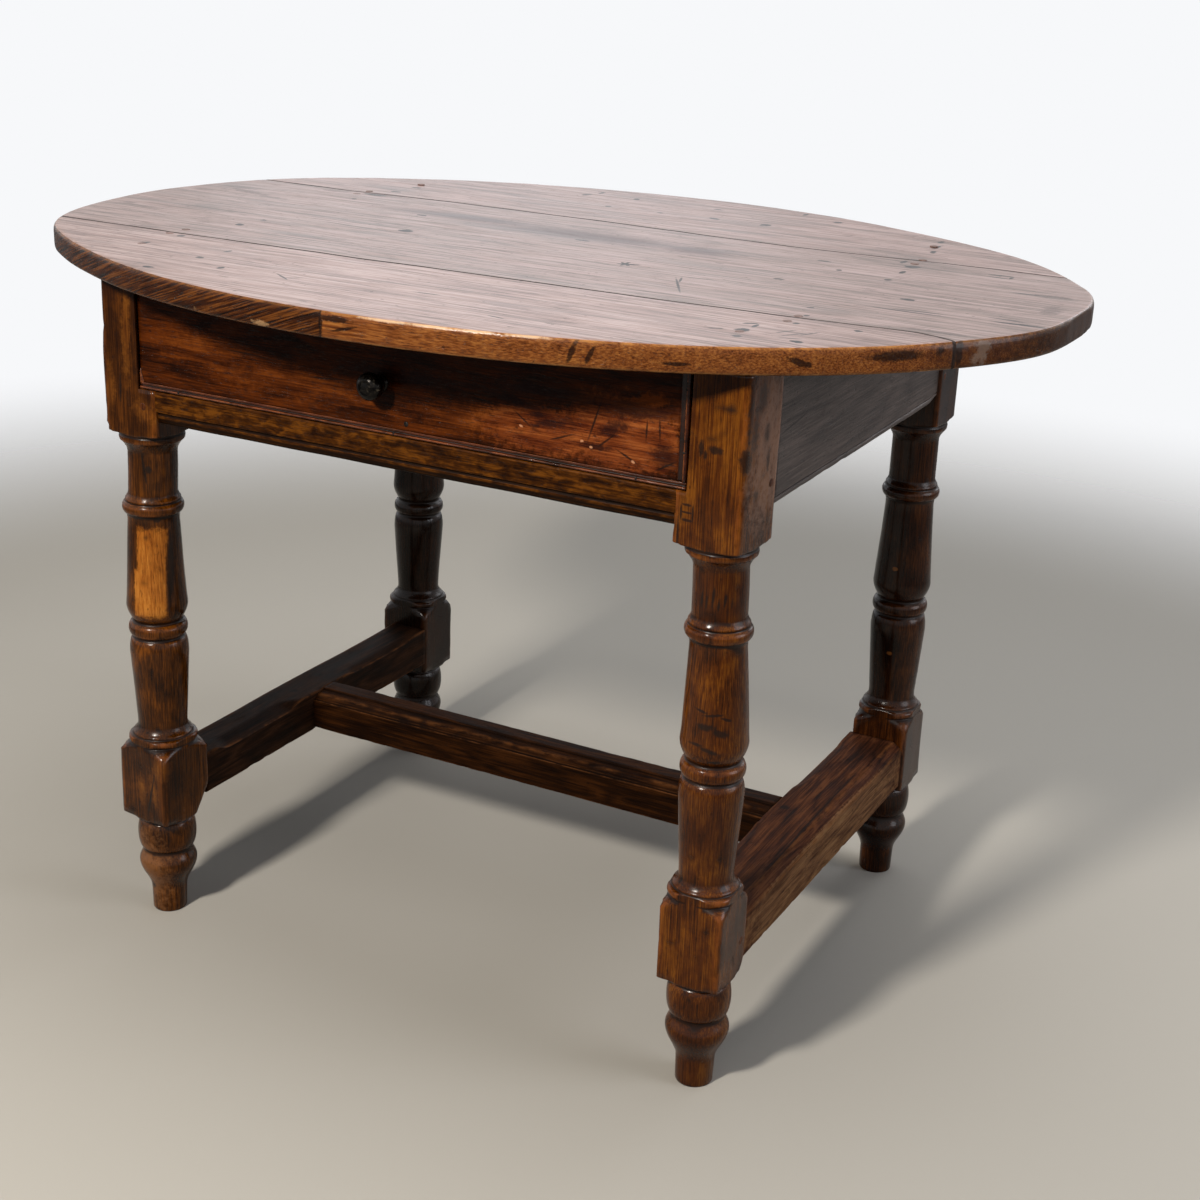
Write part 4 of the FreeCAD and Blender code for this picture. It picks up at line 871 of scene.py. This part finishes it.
def top_boards(materials, rim, hatched_rim):
    """The three boards, sawn from the oval along its joints, with dirt in the joints."""
    points, wear = oval_slab()
    faces = grid_faces(*points.shape[:2])
    flat = points.reshape(-1, 3)
    # the slab is straightened along its wandering joints, sawn, and bent back
    straight = flat[:, 1].copy()
    for _ in range(12):
        straight = flat[:, 1] - joint_shift(flat[:, 0], straight)
    flat[:, 1] = straight
    cuts = {"top_board_front": [(front_joint - JOINT_GAP, -1)],
            "top_board_middle": [(front_joint + JOINT_GAP, 1), (back_joint - JOINT_GAP, -1)],
            "top_board_back": [(back_joint + JOINT_GAP, 1)]}
    for (node, sides), material in zip(cuts.items(), materials):
        mesh = bmesh.new()
        layer = mesh.verts.layers.float.new("wear")
        made_verts = [mesh.verts.new(p) for p in flat]
        for v, w in zip(made_verts, wear.ravel()):
            v[layer] = w
        for f in faces:
            mesh.faces.new([made_verts[i] for i in f])
        for y, sign in sides:
            saw(mesh, layer, y, sign)
        xy = np.array([v.co[:2] for v in mesh.verts])
        shifted = xy[:, 1] + joint_shift(xy[:, 0], xy[:, 1])
        for v, y in zip(mesh.verts, shifted):
            v.co = Vector((v.co.x, y, v.co.z)) * MM
        data = bpy.data.meshes.new("worn_" + node)
        mesh.to_mesh(data)
        mesh.free()
        data.shade_smooth()
        made = bpy.data.objects.new("worn_" + node, data)
        bpy.context.scene.collection.objects.link(made)
        for wood in (material, rim, hatched_rim):
            data.materials.append(wood)
        for polygon in data.polygons:
            place = polygon.center / MM
            outer = (place.x / top_half_length) ** 2 + (place.y / top_half_width) ** 2 > 0.8
            on_rim = int(outer and place.z < top_height - 1.2 and abs(polygon.normal.z) < 0.9)
            hatched = place.x < -4 and place.y < 0
            polygon.material_index = on_rim * (2 if hatched else 1)
        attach(made, "table")
        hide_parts(node)


# ---- rails and stretchers -----------------------------------------------------------
def front_rail(material):
    """Low rail under the drawer with a worn moulding along its lower front edge, darkened as painted shade.
    """
    face, back, bottom, top = rail_low[1], rail_high[1], rail_low[2], rail_high[2]
    band = bottom + 13.5
    # the moulding's hollows carry negative wear, which darkens them with the dirt colour as painted shade
    section = rounded_section([
        (back, bottom, 1.5), (back, top, 1.0), (face, top, 1.6), (face, band, 0.6, 0.4),
        (face + 3.2, band - 0.4, 0.4, -1.6), (face + 3.2, band - 3.0, 0.8, -1.6),
        (face + 2.4, band - 4.6, 1.2, -0.2), (face + 3.8, band - 8.4, 2.6, -0.9),
        (face + 6.4, bottom + 1.0, 1.5, -1.6), (face + 9.0, bottom, 1.0, -1.6)], 3.0)
    bar("worn_front_rail", section, steps(-inner_x, inner_x, 4.0), lambda a, b, s: (s, a, b),
        "table", material, ("front_rail",), seed=41, waviness=0.4, nicks=0.8)


def deep_rail(name, node, outer, inner, bottom, stations, place, material, seed, shape=None):
    """Deep rail with a bead along its lower outer edge and a dirty quirk above the bead."""
    d = 1 if inner > outer else -1
    section = rounded_section([
        (inner, bottom, 1.0), (inner, top_under, 0.6), (outer, top_under, 0.6),
        (outer, bottom + 7.0, 0.7, 0.5),
        (outer + d * 2.0, bottom + 5.6, 0.4, -1.0), (outer + d * 0.1, bottom + 4.6, 1.6),
        (outer + d * 0.1, bottom + 0.4, 1.8), (outer + d * 3.0, bottom, 1.0)], 4.0)
    bar(name, section, stations, place, "table", material, (node,), seed=seed, waviness=0.5,
        nicks=0.7, shape=shape)


def side_rail(side, material):
    """Side rail; the lower edge of the right one curls up where it meets the back leg."""
    def lifted(flat, stations):
        lift = smooth_step(inner_y - 26, inner_y, stations) * 4.5
        flat[..., 1] += lift[:, None] * smooth_step(side_low[2] + 14, side_low[2], flat[..., 1])
        return flat

    name = "side_rail_" + ("right" if side > 0 else "left")
    outer = side * side_high[0]
    deep_rail("worn_" + name, name, outer, outer - side * 24.0, side_low[2], steps(-inner_y, inner_y, 5.0),
              lambda a, b, s: (a, s, b), material, 43 + side, lifted if side > 0 else None)


def back_rail(material):
    deep_rail("worn_back_rail", "back_rail", back_high[1], back_low[1], back_low[2],
              steps(-inner_x, inner_x, 5.0), lambda a, b, s: (s, a, b), material, 47)


def side_stretcher(side, material):
    """Side stretcher: outer top corner chamfered, inner one worn hollow by feet."""
    low, high = (left_low, left_high) if side < 0 else (right_low, right_high)
    outer = side * max(abs(low[0]), abs(high[0]))
    inner = left_inner if side < 0 else right_inner
    width, depth = (18.0, 7.0) if side < 0 else (8.0, 4.0)
    bottom, top = low[2], high[2]
    section = rounded_section([
        (outer, bottom, 2.0), (outer, top - 8.0, 2.5), (outer - side * 11.0, top, 3.0),
        (inner, top, 2.5), (inner, bottom, 2.0)], 3.0)

    def worn(flat, stations):
        along = np.abs(stations)
        share = smooth_step(38, 70, along) * smooth_step(inner_y - 14, inner_y - 44, along)
        if side < 0:
            share = share * np.where(stations < 0, 1.0, 0.55)
        share = share[:, None]
        away = np.abs(flat[..., 0] - inner)
        limit = np.minimum(top - depth * share * (1 - away / np.maximum(width * share, 0.1)), top)
        flat[..., 1] = np.where(away < width, np.minimum(flat[..., 1], limit), flat[..., 1])
        dip = smooth_step(30, 140, along) * smooth_step(inner_y, inner_y - 60, along)
        flat[..., 1] -= smooth_step(top - 20, top, flat[..., 1]) * dip[:, None] * 0.9
        return flat

    name = "side_stretcher_" + ("left" if side < 0 else "right")
    bar("worn_" + name, section, steps(-inner_y, inner_y, 4.0), lambda a, b, s: (a, s, b), "table",
        material, (name,), seed=51 + side, waviness=0.5, nicks=0.9, shape=worn)


def cross_stretcher(material):
    """Cross stretcher with an ovolo and its quirk along the front top edge."""
    front, back, bottom, top = -21.0, 21.0, cross_low[2], cross_high[2]
    section = rounded_section([
        (back, bottom, 1.5), (back, top, 2.0, 0.6), (-0.6, top, 0.8, 0.3), (-1.2, top - 2.4, 0.5, -1.0),
        (-3.0, top - 2.4, 0.8, -0.4), (front + 9.0, top - 4.0, 6.0, 0.9), (front + 2.4, top - 7.4, 1.5, 0.6),
        (front + 2.2, top - 8.9, 0.5, -1.0), (front, top - 8.9, 1.4, 0.9), (front, bottom, 1.5)], 3.0)
    bar("worn_cross_stretcher", section, steps(left_inner, right_inner, 4.0), lambda a, b, s: (s, a, b),
        "table", material, ("cross_stretcher",), seed=57, waviness=0.5, nicks=0.8)


# ---- drawer ---------------------------------------------------------------------------
def drawer_front(material):
    """Lipped drawer front; its lip stands in front of the dovetailed body and carries the beads."""
    left, right, bottom, top = drawer_left, drawer_right, lip_low[2], lip_high[2]
    seat = drawer_face + 3.0
    lip = rounded_section([
        (lip_back, bottom, 0.8), (lip_back, top, 0.8), (drawer_face, top, 1.2),
        (drawer_face, bottom + 7.0, 0.3, -0.6), (seat, bottom + 7.0, 0.2, -1.0),
        (seat, bottom, 0.5, -1.0)], 3.0)
    bar("worn_drawer_front", lip, steps(left, right - 9.0, 3.0), lambda a, b, s: (s, a, b),
        "drawer", material, ("drawer_front",), seed=61, waviness=0.45, nicks=0.9)
    for name, seed, front, back, bounds in (
            ("drawer_front_edge", 62, seat, lip_back, (right - 9.0, right)),
            ("drawer_front_body", 63, lip_back - 0.2, drawer_front_back, (-drawer_body, drawer_body))):
        section = rounded_section([
            (back, bottom, 0.6), (back, top, 0.6), (front, top, 0.6), (front, bottom, 0.6)], 6.0)
        bar(name, section, steps(*bounds, 6.0), lambda a, b, s: (s, a, b), "drawer", material,
            seed=seed, waviness=0.1, nicks=0.4)


def drawer_beads(material):
    """Bottom and right beads: two rounded rolls with a dirty quirk between them."""
    left, right, bottom, top = drawer_left, drawer_right, lip_low[2], lip_high[2]
    face = drawer_face
    bead = rounded_section([
        (face + 2.9, bottom, 0.3, -1.0), (face, bottom, 0.4, -0.8), (face - 2.3, bottom + 0.8, 1.0, 0.7),
        (face - 2.6, bottom + 2.4, 0.9, 1.0), (face - 0.7, bottom + 3.6, 0.3, -1.0),
        (face - 0.7, bottom + 4.4, 0.3, -1.0), (face - 1.7, bottom + 5.2, 0.5, 0.7),
        (face - 1.5, bottom + 6.9, 0.5, 1.0), (face + 2.9, bottom + 6.9, 0.3, -1.0)], 1.2)
    bar("worn_drawer_bead_bottom", bead, steps(left, right, 3.0), lambda a, b, s: (s, a, b),
        "drawer", material, ("drawer_bead_bottom",), seed=65, waviness=0.15, nicks=0.3)
    upright = rounded_section([
        (face + 2.9, right, 0.3, -1.0), (face - 0.4, right, 0.5, -0.5), (face - 2.4, right - 1.2, 1.2, 0.2),
        (face - 2.5, right - 3.4, 1.0, 1.0), (face - 0.6, right - 4.6, 0.4, -1.0),
        (face - 0.4, right - 7.6, 0.4, -1.0), (face - 1.1, right - 8.9, 0.4, 0.6),
        (face + 2.9, right - 8.9, 0.3, -1.0)], 1.2)
    bar("worn_drawer_bead_right", upright, steps(bottom + 7.0, top, 3.0), lambda a, b, s: (b, a, s),
        "drawer", material, ("drawer_bead_right",), seed=67, waviness=0.15, nicks=0.3)


def splintered_bead(material):
    """What is left of the broken left bead."""
    splinter = [(0, 0), (4.2, 0), (3.9, 1.0), (1.9, 8.0), (1.2, 11.0), (0.7, 14.6), (0, 13.2)]
    left, bottom = drawer_left, lip_low[2] + 7.0
    rows = [[(left + a * share, drawer_face + 2.8 - out, bottom + b * share) for a, b in splinter]
            for share, out in ((1.0, 0.0), (1.0, 3.4), (0.8, 4.3))]
    wear = np.repeat((-0.5, 0.6, 1.0), len(splinter))
    piece("splintered_bead", np.concatenate(rows), grid_faces(3, len(splinter)), "drawer",
          material, ("drawer_bead_left_stub",), wear)


def round_heads(name, places, depth, body, material, stands_for):
    """Low round heads of pegs or nails from (x, y, z, way out, radius, how proud)."""
    columns = 14
    turns = np.linspace(0, 2 * math.pi, columns + 1)[:-1]
    dome = ((1.0, -depth), (1.0, -0.1), (0.94, 0.5), (0.7, 0.85), (0.25, 1.0))
    points, faces = [], []
    for x, y, z, way, radius, proud in places:
        outward = Vector(way)
        across = outward.orthogonal().normalized()
        beside = outward.cross(across)
        faces += [tuple(i + len(points) for i in f) for f in grid_faces(len(dome), columns)]
        for share, rise in dome:
            middle = Vector((x, y, z)) + outward * (rise if rise < 0 else rise * proud)
            points += [tuple(middle + (across * math.cos(t) + beside * math.sin(t)) * radius * share)
                       for t in turns]
    return piece(name, np.array(points), faces, body, material, (stands_for,))


def drawer_nails(material):
    """Lone hammered nail in the drawer front, and small heads sunk in the beads."""
    middle, reach = (drawer_left + drawer_right) / 2, (drawer_right - drawer_left) * 0.42
    rise = lip_high[2] - lip_low[2]
    front, out = (0, -1, 0), drawer_face - 2.4
    places = [(7.0, drawer_face, 614.8, front, 2.6, 0.9)]
    places += [(middle + reach * i, out, lip_low[2] + 2.6, front, 1.1, 0.2) for i in (-1, 0, 1)]
    places += [(drawer_right - 3.4, out, lip_low[2] + rise * i, front, 1.1, 0.2) for i in (0.3, 0.8)]
    round_heads("hammered_drawer_nails", places, 3.0, "drawer", material, "drawer_nails")


def rail_pegs(material):
    """Ends of the pegs that hold the rails, shaved close to the worn legs."""
    shoulder, radius, proud = 13.0, 4.0, 0.2
    front_z = (rail_low[2] + rail_high[2]) / 2
    places = []
    for side in (-1, 1):
        across = side * (shoulder + inner_x)
        # the faces of the front legs are worn back
        sunk = 0.9 if side > 0 else 0.1
        places.append((across, sunk - outer_y, front_z, (0, -1, 0)))
        for z in (side_low[2] + 24.0, top_under - 48.0):
            places.append((across, outer_y, z, (0, 1, 0)))
            worn = 1.2 if side > 0 else 4.0 + (z - 620) * 0.02
            for end, lost in ((-1, worn), (1, 0.0)):
                face = leg_x + stock / 2 - lost
                places.append((side * face, end * (shoulder + inner_y), z, (side, 0, 0)))
    round_heads("shaved_rail_pegs", [p + (radius, proud) for p in places], 8.0, "table", material,
                "rail_pegs")


def drawer_knob(material):
    """Turned knob on the drawer front, rows of radius and distance in front of it."""
    low, high = corners("drawer_knob")
    x, z = (low[0] + high[0]) / 2, (low[2] + high[2]) / 2
    turning = [(8.5, 0.0), (8.6, 0.8), (8.3, 1.5), (7.2, 2.4), (6.6, 4.0), (6.5, 5.5), (7.0, 7.6),
               (8.6, 9.2), (11.2, 11.4), (12.8, 14.0), (13.5, 17.0), (13.4, 19.4), (12.4, 22.0),
               (10.6, 24.2), (8.0, 25.8), (6.6, 26.2), (6.0, 25.7), (3.4, 26.4), (0.6, 26.9)]
    columns = 48
    turns = np.linspace(0, 2 * math.pi, columns + 1)[:-1]
    rings = [np.stack([x + r * np.cos(turns), 0 * turns + drawer_face - out, z + r * np.sin(turns)], 1)
             for r, out in turning]
    made = piece("turned_knob", np.concatenate(rings), grid_faces(len(turning), columns), "drawer",
                 material, ("drawer_knob",))
    smoother = made.modifiers.new("smoother", "SUBSURF")
    smoother.levels = smoother.render_levels = 1


def soften(node, material, width=0.7):
    """CAD node of good shape, with its edges broken and its finish."""
    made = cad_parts[node]
    made.data.materials.clear()
    made.data.materials.append(material)
    weld = made.modifiers.new("weld", "WELD")
    weld.merge_threshold = 0.01 * MM
    edges = made.modifiers.new("broken_edges", "BEVEL")
    edges.width = width * MM
    edges.segments = 2
    edges.limit_method = "ANGLE"
    edges.angle_limit = math.radians(40)


# ---- studio ------------------------------------------------------------------------------
def shown_rays(tree):
    """1 for camera, glossy and transmission rays, which see the pale studio as it is."""
    paths = add(tree, "LightPath").node.outputs
    shown = add(tree, "Math", {0: paths["Is Camera Ray"], 1: paths["Is Glossy Ray"]}, operation="MAXIMUM")
    return add(tree, "Math", {0: shown, 1: paths["Is Transmission Ray"]}, operation="MAXIMUM")


def studio():
    """Pale floor that fades into white, one soft key lamp in front, low fill from the room."""
    scene = bpy.context.scene
    world = scene.world or bpy.data.worlds.new("studio")
    scene.world = world
    world.use_nodes = True
    tree = world.node_tree
    tree.nodes.clear()
    # below the horizon gloss sees a floor that goes on, as pale as the one under the table
    height = add(tree, "SeparateXYZ", {0: add(tree, "TexCoord", out="Generated")}, 2)
    height = add(tree, "MapRange", {0: height, 1: -0.10, 2: 0.02, 3: 0.22, 4: 1.0})
    seen = add(tree, "Math", {0: add(tree, "LightPath", out="Is Camera Ray"), 1: height}, operation="MAXIMUM")
    strength = add(tree, "Mix", {0: shown_rays(tree), 2: 0.05, 3: seen}, data_type="FLOAT")
    light = add(tree, "Background", {0: "#F7F8FA", 1: strength})
    output = tree.nodes.new("ShaderNodeOutputWorld")
    tree.links.new(light, output.inputs[0])

    bpy.ops.mesh.primitive_circle_add(vertices=96, radius=6.0, fill_type="NGON")
    floor = bpy.context.object
    floor.name = "studio_floor"
    paper, tree, shader = finish("pale_floor")
    colour = add(tree, "Mix", {0: shown_rays(tree), 6: "#6E6A63", 7: "#A9A59D"}, 2, data_type="RGBA")
    tree.links.new(colour, shader.inputs["Base Color"])
    shader.inputs["Roughness"].default_value = 0.85
    shader.inputs["Specular IOR Level"].default_value = 0.2
    far = add(tree, "VectorMath", {0: add(tree, "TexCoord", out="Object")}, "Value", operation="LENGTH")
    far = add(tree, "MapRange", {0: far, 1: 1.3, 2: 2.6}, interpolation_type="SMOOTHSTEP")
    fade = add(tree, "MixShader", {0: far, 1: shader.outputs[0], 2: add(tree, "BsdfTransparent")})
    tree.links.new(fade, tree.nodes["Material Output"].inputs[0])
    floor.data.materials.append(paper)

    for name, place, aim, size, power, colour in (
            ("key_lamp", (-0.32, -2.40, 2.06), (0, -0.2, 0.5), 0.34, 95.0, "#FFF8EE"),
            ("ceiling_lamp", (0.2, 0.3, 3.4), (0, 0, 0.5), 2.6, 60.0, "#FFFFFF"),
            ("right_fill", (2.8, 0.3, 1.3), (0, 0, 0.5), 1.6, 36.0, "#F6F8FF"),
            ("back_fill", (0.9, 3.0, 1.8), (0, 0, 0.5), 1.6, 14.0, "#F6F8FF"),
            ("wall_glow", (-1.6, 2.6, 1.5), (0, 0, 0.5), 1.6, 5.0, "#F6F8FF")):
        data = bpy.data.lights.new(name, "AREA")
        data.shape = "DISK"
        data.size = size
        data.energy = power
        data.color = linear(colour)[:3]
        made = bpy.data.objects.new(name, data)
        scene.collection.objects.link(made)
        made.location = place
        made.rotation_euler = (Vector(place) - Vector(aim)).to_track_quat("Z", "Y").to_euler()


def camera():
    """Camera at the height of someone standing, to the right of the table's front."""
    data = bpy.data.cameras.new("camera")
    data.sensor_fit = "HORIZONTAL"
    data.sensor_width = 36.0
    image_width, focal_pixels = 1200.0, 1934.86
    data.lens = focal_pixels / image_width * data.sensor_width
    made = bpy.data.objects.new("camera", data)
    bpy.context.scene.collection.objects.link(made)
    right = Vector((0.88279076, 0.46842292, 0.03550274))
    up = Vector((-0.19379756, 0.29430068, 0.93585769))
    back = Vector((0.42792871, -0.83304686, 0.35058514))
    place = Vector((960.437, -1732.936, 1095.307)) * MM
    turn = Matrix((right, up, back)).transposed().to_4x4()
    made.matrix_world = Matrix.Translation(place) @ turn
    data.clip_start, data.clip_end = 0.05, 60.0
    bpy.context.scene.camera = made


# ---- assembly ----------------------------------------------------------------------------
def table_top():
    """Three boards of old fruitwood with a waxed edge."""
    lines = (-top_half_width, front_joint, back_joint, top_half_width)
    # the pale greyish pink tones are partly the wood's own colour and partly a painted sheen
    boards = (("waxed_front_board", ("#65514B", "#8D7670", "#A5918D"), 3.0),
              ("waxed_middle_board", ("#5B4C46", "#836F69", "#9B8683"), 13.0),
              ("waxed_back_board", ("#5E4E48", "#87706A", "#9F8985"), 23.0))
    materials = [board_wood(*board, low, high) for board, low, high in zip(boards, lines, lines[1:])]
    top_boards(materials, rim_wood(), hatched_rim_wood())


def four_legs():
    """Legs that each stand, twist and have worn in their own way."""
    turned_leg("leg_front_left", -1, -1, 3, front_left_leg_wood(),
               [(0, -3.5, 0, 1), (117, -2.4, -7, 1.05), (205, -2.2, -7, 1.05), (270, -1.6, 0, 1),
                (363, -2.0, 0, 1), (470, -1.0, 0, 1), (510, 1.2, 0, 1), (551, 2.5, 0, 1)],
               [(1, 1, -0.6, -25.0, 115), (-1, 0, 0.0368, 54.7, 500), (-1, 0, -0.53, -264.8, 550.5)])
    turned_leg("leg_front_right", 1, -1, 5, front_right_leg_wood(),
               [(0, 0, 0, 1), (380, 0, 0, 1), (470, -2.2, 0, 1), (510, -2.8, 0, 1),
                (551, -4.2, -3.6, 1.03), (715, -2.4, -3.6, 1.03)], [(1, 1, -0.6, -18.0, 115)])
    turned_leg("leg_back_left", -1, 1, 7, back_left_leg_wood(), [(0, -4, 0, 1), (715, 0, 0, 1)])
    turned_leg("leg_back_right", 1, 1, 9, back_right_leg_wood())


def rails():
    """Waxed front rail; the others are dry."""
    front_rail(rail_wood())
    dry_side, dry_back = side_wood("Y", "dry_side_rails"), side_wood("X", "dry_back_rail")
    side_rail(1, dry_side)
    side_rail(-1, dry_side)
    back_rail(dry_back)


def stretchers():
    """Left stretcher with the dark rings of its pegs, right one cracked along its top and bare on its
    outer side, and the cross stretcher; the left and the cross one are darkened as painted shade."""
    # the left stretcher's tones are a darker copy of the right one's: painted shade
    dark, mid = ("#0C0603", "#201108", "#352012"), ("#180B06", "#3C2013", "#5C3822")
    pegs = [(-322, 27, 180, 5, 5, 6, 0), (-317, -28, 180, 5, 5, 6, 0)]
    rings = [("#0E0806", 0.8, {"soft": 0.35, "ragged": 0.4}, pegs)]
    cracked = [(336, -12, 180, 1.2, 152, 6, 1), (300, -2, 180, 5, 5, 6, 0)]
    crack = [(DIRT, 0.9, {"soft": 0.4, "ragged": 0.3}, cracked)]
    outer_side = [(356, 0, 150, 8, 260, 60, 0)]
    bare = [(("#4A2C18", "#7E5A3C", "#98754F"), 0.55, {"soft": 0.15, "ragged": 0.2}, outer_side)]
    side_stretcher(-1, stretcher_wood("Y", "foot_worn_left_stretcher", dark, 31.0, rings))
    side_stretcher(1, stretcher_wood("Y", "foot_worn_right_stretcher", mid, 35.0, crack, bare))
    # the cross stretcher's tones are darker still: painted shade under the top
    cross_stretcher(stretcher_wood("X", "foot_worn_cross_stretcher", ("#0D0401", "#1E0D03", "#341B08"), 33.0))


def drawer():
    """Worn front with its beads and knob, and the dry boards that carry it."""
    drawer_front(drawer_wood())
    beads = bead_wood()
    drawer_beads(beads)
    drawer_knob(knob_metal())
    splintered_bead(beads)
    dry_x = inside_wood("X", "dusty_drawer_boards", 35.0)
    dry_y = inside_wood("Y", "dusty_drawer_sides", 37.0)
    for part in ("drawer_side", "drawer_runner", "drawer_guide"):
        for side in ("_left", "_right"):
            soften(part + side, dry_y)
    for node in ("drawer_back", "drawer_bottom"):
        soften(node, dry_x)


def fastenings():
    """Pegs and nails."""
    pegs = peg_wood("split_pegs", ("#200C04", "#431F07", "#653410"))
    soften("top_pegs", peg_wood("waxed_top_pegs", ("#4A372F", "#6A524A", "#80665E")), 0.4)
    soften("stretcher_pegs", pegs, 0.4)
    rail_pegs(pegs)
    iron = forged_iron()
    soften("guide_nails", iron, 0.3)
    drawer_nails(iron)


camera()
studio()
table_top()
four_legs()
rails()
stretchers()
drawer()
fastenings()
bpy.context.scene.view_settings.view_transform = "Standard"
